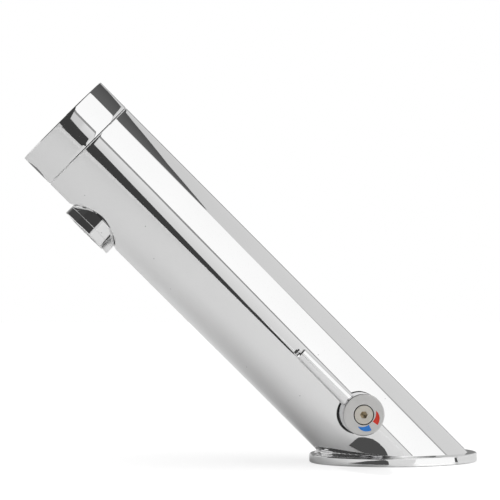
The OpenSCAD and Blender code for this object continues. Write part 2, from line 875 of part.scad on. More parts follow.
module aerator_screen() {
    color(STEEL) under_tube(outlet_at) translate([0, 0, insert_start - screen_t - 0.05])
        difference() {
            cylinder(h = screen_t, r = insert_r);
            translate([0, 0, -1])
                ring_of_holes(jet_d * 0.4, jet_pitch, jet_rings, screen_t + 2);
        }
}

module aerator_insert() {
    color(PLASTIC) under_tube(outlet_at) translate([0, 0, insert_start])
        difference() {
            cylinder(h = insert_t, r = insert_r);
            translate([0, 0, -1])
                ring_of_holes(jet_d / 2, jet_pitch, jet_rings, insert_t + 2);
        }
}

module valve_block() {
    color(PLASTIC) on_tube(hollow_at) difference() {
        translate([0, 0, seat_gap]) cylinder(h = block_len - seat_gap, r = block_r);
        translate([0, 0, -cut_past]) cylinder(h = plenum_t + cut_past, r = plenum_r);
        translate([0, 0, -cut_past])
            tube_ring(seal_ring_r + seal_r + seat_gap, seal_ring_r - seal_r - seat_gap,
                      2 * seal_r + seat_gap + cut_past);
        translate([coil_off, 0, 0]) {
            translate([0, 0, pocket_floor]) cylinder(h = block_len, r = pocket_r);
            translate([0, 0, pocket_floor - annulus_deep])
                tube_ring(annulus_out, annulus_in, annulus_deep + cut_past);
            translate([0, 0, cross_way_at]) cylinder(h = block_len, r = valve_seat_r);
            for (side = [-1, 1])
                rotate([0, 0, side * riser_angle]) translate([riser_off, 0, plenum_t - cut_past])
                    cylinder(h = pocket_floor - annulus_deep - plenum_t + 2 * cut_past, r = riser_r);
        }
        translate([-pipe_off, 0, cross_way_at]) rotate([0, 90, 0])
            cylinder(h = pipe_off + coil_off, r = cross_way_r);
        translate([-pipe_off, 0, cross_way_at - cross_way_r])
            cylinder(h = block_len, r = pipe_bore_r);
        translate([-pipe_off, 0, block_len - socket_deep])
            cylinder(h = block_len, r = pipe_r + seat_gap);
        translate([-pipe_off, 0, lower_seal_at - hollow_at]) pipe_seal_groove();
        translate(concat(cable_notch(), [-cut_past]))
            cylinder(h = block_len + 2 * cut_past, r = cable_way_r);
        translate([0, 0, -cut_past]) block_screw_places()
            cylinder(h = block_len + 2 * cut_past, r = block_screw_r + seat_gap);
    }
}

module valve_seal() {
    color(RUBBER) on_tube(hollow_at + seal_r + ring_seat_gap) o_ring(seal_ring_r, seal_r);
}

// Two pan head screws that hold the valve block down
module valve_screws() {
    color(STEEL) on_tube(hollow_at) block_screw_places() difference() {
        union() {
            translate([0, 0, -block_screw_deep])
                cylinder(h = block_len + block_screw_deep + screw_pan_t / 2, r = block_screw_r);
            translate([0, 0, block_len + ring_seat_gap]) cylinder(h = screw_pan_t, r = screw_pan_r);
        }
        translate([0, 0, block_len + screw_pan_t / 2])
            cylinder(h = screw_pan_t, r = screw_pan_r / 2, $fn = 6);
    }
}

module diaphragm() {
    color(RUBBER) on_tube(hollow_at + pocket_floor + ring_seat_gap) translate([coil_off, 0, 0])
        difference() {
            union() {
                cylinder(h = diaphragm_t, r = diaphragm_r);
                cylinder(h = diaphragm_t + boss_t, r = plunger_r);
            }
            translate([0, 0, -cut_past])
                cylinder(h = diaphragm_t + boss_t + 2 * cut_past, r = water_slot_r);
            translate([0, 0, diaphragm_t / 2])
                tube_ring(annulus_out - web_land, annulus_in + web_land, diaphragm_t);
        }
}

module plunger_guide() {
    color(BRASS) on_tube(hollow_at) translate([coil_off, 0, 0]) difference() {
        union() {
            translate([0, 0, guide_start])
                cylinder(h = guide_flange_end - guide_start, r = pocket_r - thread_gap);
            translate([0, 0, guide_start])
                cylinder(h = coil_end - guide_end_gap - guide_start, r = guide_r);
            translate([0, 0, coil_end - 2 * guide_end_gap])
                cylinder(h = nut_t + stem_past_nut, r = stem_r);
        }
        translate([0, 0, guide_start - cut_past])
            cylinder(h = pilot_deep + cut_past, r = pocket_r - pilot_rim);
        translate([0, 0, guide_start]) cylinder(h = guide_bore_end - guide_start, r = guide_bore_r);
    }
}

module plunger() {
    color(STEEL) on_tube(hollow_at + plunger_start) translate([coil_off, 0, 0]) difference() {
        cylinder(h = plunger_len, r = plunger_r);
        translate([0, 0, plunger_len - spring_bore_deep])
            cylinder(h = spring_bore_deep + cut_past, r = spring_bore_r);
        for (side = [-1, 1])
            translate([side * plunger_r, 0, -cut_past])
                cylinder(h = plunger_len + 2 * cut_past, r = water_slot_r);
    }
}

// One unbroken wire with a closed turn at each end
function spring_lift(u) = let (
    flat = 0.9 * spring_wire * 2.2,
    middle = spring_end - spring_start - 2 * flat
) u < 1 ? flat * u
    : u > spring_turns - 1 ? flat + middle + flat * (u - spring_turns + 1)
    : flat + middle * (u - 1) / (spring_turns - 2);

function spring_ring(u) = [for (k = [0:5]) let (
    t = u * 360,
    a = -k * 60,
    reach = spring_r + spring_wire / 2 * cos(a)
) [reach * cos(t), reach * sin(t), spring_lift(u) + spring_wire / 2 * sin(a)]];

module plunger_spring() {
    per_turn = 12;
    turns = [for (i = [0:spring_turns * per_turn]) i / per_turn];
    rings = [for (u = turns) spring_ring(u)];
    points = concat(
        [[spring_r, 0, spring_lift(0)]],
        [for (ring = rings) each ring],
        [[spring_r * cos(360 * spring_turns), spring_r * sin(360 * spring_turns),
          spring_lift(spring_turns)]]
    );
    color(STEEL) on_tube(hollow_at + spring_start) translate([coil_off, 0, 0])
        polyhedron(points = points, faces = ring_faces(len(rings), 6), convexity = 10);
}

// The coil in its moulded jacket, with a foot for its two tabs
module solenoid_coil() {
    color(BLACK) on_tube(hollow_at) translate([coil_off, 0, 0]) difference() {
        union() {
            translate([0, 0, coil_start]) cylinder(h = coil_len, r = coil_r);
            translate([-tab_foot[0] / 2, coil_r - tab_foot_in, coil_end - tab_foot_below])
                cube(tab_foot);
        }
        translate([0, 0, coil_start - cut_past])
            cylinder(h = coil_len + 2 * cut_past, r = guide_r + seat_gap);
        for (at = [coil_start + coil_band_in, coil_end - coil_band_in - coil_band])
            translate([0, 0, at]) tube_ring(coil_d, coil_r - coil_band_deep, coil_band);
    }
}

module coil_nut() {
    color(STEEL) on_tube(hollow_at + coil_end + ring_seat_gap) translate([coil_off, 0, 0])
        difference() {
            cylinder(h = nut_t, r = nut_w / 2 / cos(30), $fn = 6);
            translate([0, 0, -cut_past])
                cylinder(h = nut_t + 2 * cut_past, r = stem_r + thread_gap);
        }
}

module disc_ports(deep) {
    for (x = [-port_off, 0, port_off])
        translate([x, 0, -1]) cylinder(h = deep + 2, r = port_r);
}

module cartridge_seal() {
    color(RUBBER) at_knob() translate([0, 0, cartridge_floor]) difference() {
        cylinder(h = gasket_t, r = cartridge_r - seat_gap);
        disc_ports(gasket_t);
    }
}

module fixed_disc() {
    color(CERAMIC) at_knob() translate([0, 0, fixed_start]) difference() {
        cylinder(h = fixed_disc_t, r = disc_r);
        disc_ports(fixed_disc_t);
        for (side = [-1, 1])
            rotate([0, 0, side * 90]) translate([disc_r - key_t, -key_w / 2, -1])
                cube([key_t + 1, key_w, fixed_disc_t + 2]);
    }
}

// A half round pocket under the disc leads both ports to the middle
module moving_disc() {
    color([0.8, 0.8, 0.78]) at_knob() translate([0, 0, moving_start]) difference() {
        cylinder(h = moving_disc_t, r = disc_r - seat_gap);
        translate([0, 0, -1]) linear_extrude(moving_disc_t * 0.45 + 1) {
            circle(r = port_r);
            intersection() {
                circle(r = port_off + port_r);
                translate([-disc_r, 0]) square([2 * disc_r, disc_r]);
            }
        }
        for (side = [-1, 1])
            translate([side * stop_off - dog_w / 2, -dog_w / 2, moving_disc_t - dog_deep])
                cube([dog_w, dog_w, dog_deep + 1]);
    }
}

module cartridge_housing() {
    color(BRASS) at_knob() {
        difference() {
            translate([0, 0, fixed_start]) cylinder(h = housing_end - fixed_start, r = cartridge_r);
            translate([0, 0, fixed_start - 1])
                cylinder(h = housing_roof - fixed_start + 1, r = housing_cavity_r);
            cylinder(h = housing_end + 1, r = spindle_run_r);
            translate([0, 0, stem_seal_at - stem_seal_r - seat_gap])
                cylinder(h = 2 * (stem_seal_r + seat_gap),
                         r = spindle_run_r + 2 * stem_seal_r + seat_gap);
        }
        for (side = [-1, 1])
            rotate([0, 0, side * 90])
                translate([disc_r - key_t + seat_gap, seat_gap - key_w / 2, fixed_start])
                    cube([key_t + housing_wall / 2, key_w - 2 * seat_gap, fixed_disc_t - seat_gap]);
        translate([0, stop_off, drive_start + stop_lift])
            cylinder(h = housing_roof - drive_start, r = stop_r);
    }
}

// Sector of a circle for cutting arcs, in degrees
module sector(r, from, to) {
    polygon(concat([[0, 0]], [for (i = [0:8])
        let (t = from + (to - from) * i / 8) r * [cos(t), sin(t)]]));
}

// The spindle drives the moving disc by two dogs and stops on a pin in an arc slot
module spindle() {
    slot = turn + asin(stop_r / stop_off) + stop_spare;
    slot_half = stop_r + stop_gap;
    upper = 90;
    color(BRASS) at_knob() {
        difference() {
            union() {
                translate([0, 0, drive_start])
                    cylinder(h = drive_t, r = disc_r - 2 * seat_gap);
                translate([0, 0, drive_start]) cylinder(h = spindle_end - drive_start, r = spindle_r);
            }
            translate([0, 0, drive_start - 1]) linear_extrude(drive_t + 2) intersection() {
                difference() {
                    circle(r = stop_off + slot_half);
                    circle(r = stop_off - slot_half);
                }
                sector(disc_r * 2, upper - slot, upper + slot);
            }
            translate([0, 0, screw_end - 1])
                cylinder(h = spindle_end - screw_end + 2, r = screw_r + thread_gap);
            translate([spindle_r - spindle_flat, -spindle_r, knob_back + roof_gap])
                cube([spindle_r, 2 * spindle_r, spindle_end]);
        }
        for (side = [-1, 1])
            translate([side * stop_off - dog_w / 2 + run_gap, run_gap - dog_w / 2,
                       drive_start - dog_deep + seat_gap])
                cube([dog_w - 2 * run_gap, dog_w - 2 * run_gap, dog_deep]);
    }
}

module spindle_seal() {
    color(RUBBER) at_knob() translate([0, 0, stem_seal_at])
        o_ring(spindle_run_r + run_gap + stem_seal_r, stem_seal_r);
}

module gland_nut() {
    color(BRASS) at_knob() translate([0, 0, nut_start]) difference() {
        cylinder(h = gland_t, r = gland_r);
        translate([0, 0, -cut_past])
            cylinder(h = gland_t + 2 * cut_past, r = spindle_r + gland_bore_gap);
        for (side = [-1, 1])
            translate([side * (gland_r + spindle_r) / 2, 0, gland_key_floor])
                cylinder(h = gland_t, r = gland_key_r);
    }
}

// Black plastic ring in the gap behind the knob
module shadow_ring() {
    collar_r = shadow_ring_d / 2;
    bevel_at = shadow_end - shadow_start - shadow_ring_bevel;
    color(CHROME) at_knob() translate([0, 0, shadow_start]) difference() {
        union() {
            cylinder(h = bevel_at, r = collar_r);
            translate([0, 0, bevel_at])
                cylinder(h = shadow_ring_bevel, r1 = collar_r, r2 = collar_r - shadow_ring_bevel);
        }
        translate([0, 0, -1])
            cylinder(h = knob_deep, r = spindle_r + shadow_bore_gap);
    }
}

// Outline of a colour mark: a curved wedge that tapers to a point
module mark_outline(side, grow) {
    steps = 10;
    function turned(u) = mark_middle + side * (mark_from + u * (mark_to - mark_from));
    function outer(u) = mark_outer_r - (mark_outer_r - mark_tip_r) * pow(u, 2) + grow;
    function inner(u) = mark_inner_r + (mark_tip_r - mark_inner_r) * u - grow;
    polygon(concat(
        [for (i = [0:steps]) let (u = i / steps) outer(u) * [cos(turned(u)), sin(turned(u))]],
        [for (i = [steps:-1:0]) let (u = i / steps) inner(u) * [cos(turned(u)), sin(turned(u))]]
    ));
}

module temperature_knob() {
    edge = [for (e = [0:15:90]) [
        knob_r - knob_edge * (1 - cos(e)),
        knob_face - knob_edge * (1 - sin(e))
    ]];
    color(SATIN) at_knob() difference() {
        rotate_extrude() polygon(concat(
            [[0, knob_back], [knob_r - knob_foot, knob_back], [knob_r, knob_back + knob_foot]],
            edge,
            [[0, knob_face]]
        ));
        difference() {
            translate([0, 0, knob_back - cut_past])
                cylinder(h = spindle_end - knob_back + cut_past + roof_gap, r = spindle_run_r);
            translate([spindle_r - spindle_flat + run_gap, -spindle_r, knob_back + 2 * roof_gap])
                cube([spindle_r, 2 * spindle_r, spindle_end]);
        }
        cylinder(h = knob_face, r = screw_r + head_gap);
        translate([0, 0, screw_face - head_t - seat_gap])
            cylinder(h = head_t - head_land, r1 = screw_r + head_gap, r2 = screw_head_r + head_gap);
        translate([0, 0, screw_face - head_land - seat_gap])
            cylinder(h = head_land + cut_past, r = screw_head_r + head_gap);
        translate([0, spindle_r + lever_wall, lever_at]) rotate([-90, 0, 0])
            cylinder(h = knob_r, r = lever_spigot_r + thread_gap);
        for (side = [-1, 1])
            translate([0, 0, knob_face - mark_t]) linear_extrude(mark_t + 1)
                mark_outline(side, mark_gap);
    }
}

// A tapered rod that is screwed into the knob's side
module lever_rod() {
    color(CHROME) at_knob() difference() {
        translate([0, 0, lever_at]) rotate([-90, 0, 0]) {
            translate([0, 0, spindle_r + lever_wall + lever_end_gap])
                cylinder(h = knob_r - spindle_r, r = lever_spigot_r);
            translate([0, 0, knob_r - cut_past])
                cylinder(h = lever_reach - lever_tip_bevel - knob_r + cut_past,
                         r1 = lever_root_d / 2, r2 = lever_tip_d / 2);
            translate([0, 0, lever_reach - lever_tip_bevel])
                cylinder(h = lever_tip_bevel, r1 = lever_tip_d / 2,
                         r2 = lever_tip_d / 2 - lever_tip_bevel);
        }
        difference() {
            translate([0, 0, knob_back - cut_past])
                cylinder(h = knob_deep + 2 * cut_past, r = knob_r + ring_seat_gap);
            translate([0, 0, lever_at]) rotate([-90, 0, 0])
                cylinder(h = knob_r * 2, r = lever_spigot_r);
        }
    }
}

module knob_screw() {
    color(STEEL) at_knob() difference() {
        union() {
            translate([0, 0, screw_end]) cylinder(h = screw_len - head_t + head_land, r = screw_r);
            translate([0, 0, screw_face - head_t])
                cylinder(h = head_t - head_land, r1 = screw_r, r2 = screw_head_r);
            translate([0, 0, screw_face - head_land]) cylinder(h = head_land, r = screw_head_r);
        }
        translate([0, 0, screw_face - hex_deep]) rotate([0, 0, 15])
            cylinder(h = hex_deep + cut_past, r = hex_w / 2 / cos(30), $fn = 6);
    }
}

module mark(side) {
    at_knob() translate([0, 0, knob_face - mark_t + mark_gap]) linear_extrude(mark_t - mark_gap)
        mark_outline(side, 0);
}

module hot_mark() {
    color(RED) mark(1);
}

module cold_mark() {
    color(BLUE) mark(-1);
}

spout_body();
base_seal();
cable_grommet();
inlet_strainers();
head_cap();
cap_seal();
sensor_window();
sensor_housing();
sensor_board();
infrared_emitter();
infrared_receiver();
outlet_nozzle();
outlet_pipe();
pipe_seals();
aerator_ring();
aerator_washer();
aerator_screen();
aerator_insert();
valve_block();
valve_seal();
valve_screws();
diaphragm();
plunger_guide();
plunger();
plunger_spring();
solenoid_coil();
coil_nut();
cartridge_seal();
fixed_disc();
moving_disc();
cartridge_housing();
spindle();
spindle_seal();
gland_nut();
shadow_ring();
temperature_knob();
lever_rod();
knob_screw();
hot_mark();
cold_mark();
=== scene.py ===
"""Touchless basin tap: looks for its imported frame, laid out as an add-on and run as a script."""

import json
import math

import bmesh
import bpy
from bpy.props import FloatProperty, FloatVectorProperty, PointerProperty
from bpy.types import Operator, Panel, PropertyGroup
from mathutils import Matrix, Vector


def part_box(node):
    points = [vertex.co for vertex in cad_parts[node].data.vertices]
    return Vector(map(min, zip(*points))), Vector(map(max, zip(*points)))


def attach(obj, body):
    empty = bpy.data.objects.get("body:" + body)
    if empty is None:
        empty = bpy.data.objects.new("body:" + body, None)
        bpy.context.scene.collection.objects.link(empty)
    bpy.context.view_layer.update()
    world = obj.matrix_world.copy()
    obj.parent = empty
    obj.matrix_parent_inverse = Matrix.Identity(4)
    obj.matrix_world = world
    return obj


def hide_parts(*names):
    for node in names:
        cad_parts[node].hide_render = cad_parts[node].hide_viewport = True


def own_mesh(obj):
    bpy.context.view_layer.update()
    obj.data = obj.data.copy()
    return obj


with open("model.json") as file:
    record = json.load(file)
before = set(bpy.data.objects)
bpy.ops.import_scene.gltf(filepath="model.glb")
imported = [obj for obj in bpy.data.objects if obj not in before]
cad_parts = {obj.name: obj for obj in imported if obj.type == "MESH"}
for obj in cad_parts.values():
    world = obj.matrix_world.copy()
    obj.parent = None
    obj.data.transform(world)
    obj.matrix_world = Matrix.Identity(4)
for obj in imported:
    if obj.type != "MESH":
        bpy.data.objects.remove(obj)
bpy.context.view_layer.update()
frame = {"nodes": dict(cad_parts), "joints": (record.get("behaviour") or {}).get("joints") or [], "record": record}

bl_info = {
    "name": "Touchless basin tap",
    "version": (1, 0, 0),
    "blender": (4, 5, 0),
    "location": "View3D > Sidebar > Tap",
    "description": "Builds the finishes, the turned parts and the studio round the packed tap",
    "category": "Add Mesh",
}

MM = 0.001
# Directions of the leaning tube: up along it, and square to it towards its upper side
UP_TUBE = Vector((-1, 0, 1)).normalized()
OVER_TUBE = Vector((1, 0, 1)).normalized()
TO_VIEWER = Vector((0, -1, 0))
KNOB_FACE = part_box("temperature_knob")[0].y
SCREW_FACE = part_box("knob_screw")[0].y
HINGE = next(Vector(joint["pos_m"]) for joint in frame["joints"] if joint["name"] == "temperature_turn")
AT_KNOB = Vector((HINGE.x, 0, HINGE.z))
# Where the tube's axis meets the foot's underside
TUBE_START = Vector((HINGE.x + HINGE.z, 0, 0))

# Places along the tube from its start, and the radius of the outlet's hole
SEAM_PLACE = 0.2038
CAP_END_PLACE = 0.2205
HOLE_PLACE = 0.1766
HOLE_RADIUS = 0.0136
# How far the polish rolls off at each edge, and how steeply at the edge itself
SEAM_ROLL_CAP = (0.0019, 0.42)
SEAM_ROLL_TUBE = (0.0014, 0.2)
CAP_END_ROLL = (0.0028, 0.16)
HOLE_ROLL = (0.0012, 0.12)
# Painted shade in the gap: a dark band on the tube shows past the collar, widest towards its side
GAP_SHADE_RADIUS = 0.0094
GAP_SHADE_WIDTH = 0.0006
GAP_SHADE_SIDE = Vector((-0.86, 0, -0.5))
# Edges that turn by more than this stay sharp on turned pieces, on the casting and on the spring
SHARP_TURNED, SHARP_CASTING, SHARP_SPRING = math.radians(28), math.radians(30), math.radians(50)


# Settings

class TapFinish(PropertyGroup):
    """Colours and finishes of the tap's surfaces"""

    chrome: FloatVectorProperty(
        name="Chrome", description="Colour of the polished chrome",
        subtype="COLOR", size=3, min=0, max=1, default=(0.88, 0.88, 0.88))
    chrome_blur: FloatProperty(
        name="Chrome blur", description="Roughness of the polished chrome",
        subtype="FACTOR", min=0, max=1, default=0.028)
    satin: FloatVectorProperty(
        name="Satin chrome", description="Colour of the knob's satin face",
        subtype="COLOR", size=3, min=0, max=1, default=(0.66, 0.655, 0.645))
    # Painted shade: the knob's polished side is coloured darker than the tube's chrome
    knob_side_shade: FloatVectorProperty(
        name="Knob side", description="Colour of the knob's polished side",
        subtype="COLOR", size=3, min=0, max=1, default=(0.45, 0.45, 0.46))
    satin_blur: FloatProperty(
        name="Satin blur", description="Roughness of the knob's satin face",
        subtype="FACTOR", min=0, max=1, default=0.42)
    screw: FloatVectorProperty(
        name="Screw", description="Colour of the screw's turned steel",
        subtype="COLOR", size=3, min=0, max=1, default=(0.62, 0.59, 0.53))
    hot: FloatVectorProperty(
        name="Hot mark", description="Colour of the hot mark's enamel",
        subtype="COLOR", size=3, min=0, max=1, default=(0.62, 0.043, 0.024))
    cold: FloatVectorProperty(
        name="Cold mark", description="Colour of the cold mark's enamel",
        subtype="COLOR", size=3, min=0, max=1, default=(0.034, 0.212, 0.65))


class TapTurned(PropertyGroup):
    """Sizes of the edges that the lathe and the polisher leave"""

    screw_head: FloatProperty(
        name="Screw head", description="Radius of the screw's head, with its dark gap left round it",
        subtype="DISTANCE", unit="LENGTH", min=0.0038, max=0.0044, default=0.00418)
    collar_edge: FloatProperty(
        name="Collar edge", description="Rounding of the collar behind the knob",
        subtype="DISTANCE", unit="LENGTH", min=0.00002, max=0.0004, default=0.00008)
    ring_edge: FloatProperty(
        name="Aerator edge", description="Rounding of the aerator ring's mouth",
        subtype="DISTANCE", unit="LENGTH", min=0.0001, max=0.001, default=0.0004)
    ring_groove: FloatProperty(
        name="Aerator groove", description="Depth of the fine groove round the aerator ring",
        subtype="DISTANCE", unit="LENGTH", min=0, max=0.0003, default=0.0001)


class TapStage(PropertyGroup):
    """Light levels of the studio"""

    room: FloatProperty(
        name="Room", description="Level of the grey walls that the chrome mirrors",
        min=0, max=2, default=0.69)
    key: FloatProperty(
        name="Softbox", description="Level of the large softbox",
        min=0, max=4, default=1.1)
    dark: FloatProperty(
        name="Dark cards", description="Level of the dark cards round the lens",
        min=0, max=1, default=0.05)
    top: FloatProperty(
        name="Top light", description="Power of the soft light from above",
        min=0, max=100, default=20.0)


# Making shader nodes

def link(tree, source, target):
    tree.links.new(source, target)


def node(tree, kind, **values):
    made = tree.nodes.new(kind)
    for key, value in values.items():
        setattr(made, key, value)
    return made


def math_node(tree, operation, a, b=None, clamp=False):
    made = node(tree, "ShaderNodeMath", operation=operation, use_clamp=clamp)
    for socket, value in zip(made.inputs, (a, b)):
        if value is None:
            continue
        if isinstance(value, (int, float)):
            socket.default_value = value
        else:
            link(tree, value, socket)
    return made.outputs[0]


def dot_node(tree, vector, direction):
    made = node(tree, "ShaderNodeVectorMath", operation="DOT_PRODUCT")
    link(tree, vector, made.inputs[0])
    made.inputs[1].default_value = direction
    return made.outputs["Value"]


def range_node(tree, value, low, high, to_low=0.0, to_high=1.0):
    made = node(tree, "ShaderNodeMapRange", clamp=True)
    link(tree, value, made.inputs["Value"])
    for name, number in (("From Min", low), ("From Max", high), ("To Min", to_low), ("To Max", to_high)):
        made.inputs[name].default_value = number
    return made.outputs["Result"]


def object_coords(tree):
    return node(tree, "ShaderNodeTexCoord").outputs["Object"]


def from_point(tree, coords, point):
    """Coordinates measured from a point."""
    made = node(tree, "ShaderNodeVectorMath", operation="SUBTRACT")
    link(tree, coords, made.inputs[0])
    made.inputs[1].default_value = tuple(point)
    return made.outputs[0]


def length_node(tree, vector):
    made = node(tree, "ShaderNodeVectorMath", operation="LENGTH")
    link(tree, vector, made.inputs[0])
    return made.outputs["Value"]


def from_knob_axis(tree, coords):
    """Vector to each point from the knob's axis, square to that axis."""
    made = node(tree, "ShaderNodeVectorMath", operation="MULTIPLY")
    link(tree, from_point(tree, coords, HINGE), made.inputs[0])
    made.inputs[1].default_value = (1, 0, 1)
    return made.outputs[0]


def depth_node(tree):
    """Depth into the tap, away from the viewer."""
    split = node(tree, "ShaderNodeSeparateXYZ")
    link(tree, object_coords(tree), split.inputs[0])
    return split.outputs["Y"]


def new_group(name, inputs, outputs):
    """A node group with float inputs {name: default} and outputs {name: socket kind}."""
    group = bpy.data.node_groups.new(name, "ShaderNodeTree")
    for key, value in inputs.items():
        socket = group.interface.new_socket(key, in_out="INPUT", socket_type="NodeSocketFloat")
        socket.default_value = value
    for key, kind in outputs.items():
        group.interface.new_socket(key, in_out="OUTPUT", socket_type=kind)
    return group, node(group, "NodeGroupInput"), node(group, "NodeGroupOutput")


def noise(tree, coords, scale, detail=2.0, rough=0.5):
    made = node(tree, "ShaderNodeTexNoise")
    link(tree, coords, made.inputs["Vector"])
    if isinstance(scale, (int, float)):
        made.inputs["Scale"].default_value = scale
    else:
        link(tree, scale, made.inputs["Scale"])
    made.inputs["Detail"].default_value = detail
    made.inputs["Roughness"].default_value = rough
    return made.outputs["Fac"]


def build_wear():
    """Roughness that drifts between two values over patches, with fine wipe marks in it."""
    group, start, end = new_group(
        "polish_wear", {"Clean": 0.02, "Handled": 0.05, "Patch": 60.0},
        {"Roughness": "NodeSocketFloat", "Tone": "NodeSocketFloat"})
    coords = object_coords(group)
    patches = noise(group, coords, start.outputs["Patch"], 3.0)
    wipes = noise(group, coords, 900.0, 1.0)
    mixed = math_node(group, "ADD", math_node(group, "MULTIPLY", patches, 0.75),
                      math_node(group, "MULTIPLY", wipes, 0.25))
    spread = range_node(group, mixed, 0.35, 0.65)
    span = math_node(group, "SUBTRACT", start.outputs["Handled"], start.outputs["Clean"])
    rough = math_node(group, "ADD", start.outputs["Clean"], math_node(group, "MULTIPLY", span, spread))
    link(group, rough, end.inputs["Roughness"])
    link(group, spread, end.inputs["Tone"])
    return group


def build_specks():
    """Sparse specks of dust and pin holes."""
    group, start, end = new_group(
        "dust_specks", {"Spacing": 260.0, "Size": 0.06, "Share": 0.12}, {"Mask": "NodeSocketFloat"})
    coords = object_coords(group)
    cells = node(group, "ShaderNodeTexVoronoi", feature="F1", voronoi_dimensions="3D")
    link(group, coords, cells.inputs["Vector"])
    link(group, start.outputs["Spacing"], cells.inputs["Scale"])
    near = math_node(group, "LESS_THAN", cells.outputs["Distance"], start.outputs["Size"])
    pick = node(group, "ShaderNodeSeparateColor")
    link(group, cells.outputs["Color"], pick.inputs[0])
    chosen = math_node(group, "LESS_THAN", pick.outputs[0], start.outputs["Share"])
    link(group, math_node(group, "MULTIPLY", near, chosen), end.inputs["Mask"])
    return group


def build_seam_roll():
    """Height of the polish in metres: it rolls off at the seam, the cap's end and the outlet's hole."""
    group, _, end = new_group("seam_roll", {}, {"Height": "NodeSocketFloat"})
    on_tube = from_point(group, object_coords(group), TUBE_START)
    along = dot_node(group, on_tube, UP_TUBE)
    over = dot_node(group, on_tube, OVER_TUBE)
    side = dot_node(group, on_tube, TO_VIEWER)
    from_hole = math_node(group, "SUBTRACT", along, HOLE_PLACE)
    span = math_node(group, "ADD", math_node(group, "MULTIPLY", from_hole, from_hole),
                     math_node(group, "MULTIPLY", side, side))
    past_hole = math_node(group, "SUBTRACT", math_node(group, "SQRT", span), HOLE_RADIUS)
    rolls = (
        (math_node(group, "SUBTRACT", along, SEAM_PLACE), SEAM_ROLL_CAP),
        (math_node(group, "SUBTRACT", SEAM_PLACE, along), SEAM_ROLL_TUBE),
        (math_node(group, "SUBTRACT", CAP_END_PLACE, along), CAP_END_ROLL),
        (past_hole, HOLE_ROLL),
    )
    total = 0.0
    for away, (width, slope) in rolls:
        near = math_node(group, "SUBTRACT", 1.0, math_node(group, "DIVIDE", away, width), True)
        drop = math_node(group, "MULTIPLY", math_node(group, "MULTIPLY", near, near), -slope * width / 2)
        if away is past_hole:
            drop = math_node(group, "MULTIPLY", drop, math_node(group, "LESS_THAN", over, 0.0))
        total = math_node(group, "ADD", drop, total)
    link(group, total, end.inputs["Height"])
    return group


def build_grain():
    """Fine grain of moulded plastic and rubber."""
    group, start, end = new_group(
        "moulded_grain", {"Scale": 2500.0, "Low": 0.45, "High": 0.6},
        {"Height": "NodeSocketFloat", "Roughness": "NodeSocketFloat", "Tone": "NodeSocketFloat"})
    coords = object_coords(group)
    fine = noise(group, coords, start.outputs["Scale"], 2.0, 0.6)
    broad = noise(group, coords, 120.0, 2.0)
    span = math_node(group, "SUBTRACT", start.outputs["High"], start.outputs["Low"])
    rough = math_node(group, "ADD", start.outputs["Low"], math_node(group, "MULTIPLY", span, broad))
    link(group, fine, end.inputs["Height"])
    link(group, rough, end.inputs["Roughness"])
    link(group, range_node(group, broad, 0.3, 0.7), end.inputs["Tone"])
    return group


def build_lathe_rings():
    """Rings that a lathe leaves round an axis along Y through the knob's middle."""
    group, start, end = new_group(
        "lathe_rings", {"Pitch": 0.00012, "Blur": 0.3},
        {"Height": "NodeSocketFloat", "Tone": "NodeSocketFloat"})
    coords = object_coords(group)
    radius = length_node(group, from_knob_axis(group, coords))
    turns = math_node(group, "DIVIDE", radius, start.outputs["Pitch"])
    wobble = math_node(group, "MULTIPLY", noise(group, coords, 700.0, 1.0), start.outputs["Blur"])
    phase = math_node(group, "MULTIPLY", math_node(group, "ADD", turns, wobble), math.tau)
    wave = math_node(group, "SINE", phase)
    link(group, wave, end.inputs["Height"])
    link(group, range_node(group, wave, -1.0, 1.0), end.inputs["Tone"])
    return group


def build_painted_gap_shade():
    """Painted shade of the gap on the tube, at the collar's lower left."""
    group, _, end = new_group("painted_gap_shade", {}, {"Mask": "NodeSocketFloat"})
    coords = object_coords(group)
    outward = from_knob_axis(group, coords)
    radius = length_node(group, outward)
    low_left = math_node(group, "DIVIDE", dot_node(group, outward, GAP_SHADE_SIDE), radius)
    reach = range_node(group, low_left, 0.1, 0.9, GAP_SHADE_RADIUS, GAP_SHADE_RADIUS + GAP_SHADE_WIDTH)
    line = math_node(group, "LESS_THAN", radius, reach)
    front = math_node(group, "LESS_THAN", dot_node(group, coords, (0, 1, 0)), 0.0)
    link(group, math_node(group, "MULTIPLY", line, front), end.inputs["Mask"])
    return group


GROUPS = {
    "polish_wear": build_wear,
    "dust_specks": build_specks,
    "seam_roll": build_seam_roll,
    "painted_gap_shade": build_painted_gap_shade,
    "moulded_grain": build_grain,
    "lathe_rings": build_lathe_rings,
}


def place_group(tree, name, **values):
    group = bpy.data.node_groups.get(name) or GROUPS[name]()
    made = node(tree, "ShaderNodeGroup", node_tree=group)
    for key, value in values.items():
        made.inputs[key].default_value = value
    return made


# Materials

def new_material(name, colour, metallic, rough, coat=0.0):
    made = bpy.data.materials.new(name)
    made.use_nodes = True
    shader = made.node_tree.nodes["Principled BSDF"]
    shader.inputs["Base Color"].default_value = (*colour, 1)
    shader.inputs["Metallic"].default_value = metallic
    shader.inputs["Roughness"].default_value = rough
    shader.inputs["Coat Weight"].default_value = coat
    return made, made.node_tree, shader


def mix_colour(tree, factor, first, second):
    made = node(tree, "ShaderNodeMix", data_type="RGBA")
    link(tree, factor, made.inputs[0])
    for socket, value in ((made.inputs[6], first), (made.inputs[7], second)):
        if isinstance(value, tuple):
            socket.default_value = (*value, 1)
        else:
            link(tree, value, socket)
    return made.outputs[2]


def shade(colour, factor):
    return tuple(min(1.0, c * factor) for c in colour)


def bump(tree, shader, height, distance, strength=1.0):
    made = node(tree, "ShaderNodeBump")
    made.inputs["Strength"].default_value = strength
    made.inputs["Distance"].default_value = distance
    link(tree, height, made.inputs["Height"])
    link(tree, made.outputs["Normal"], shader.inputs["Normal"])
    return made


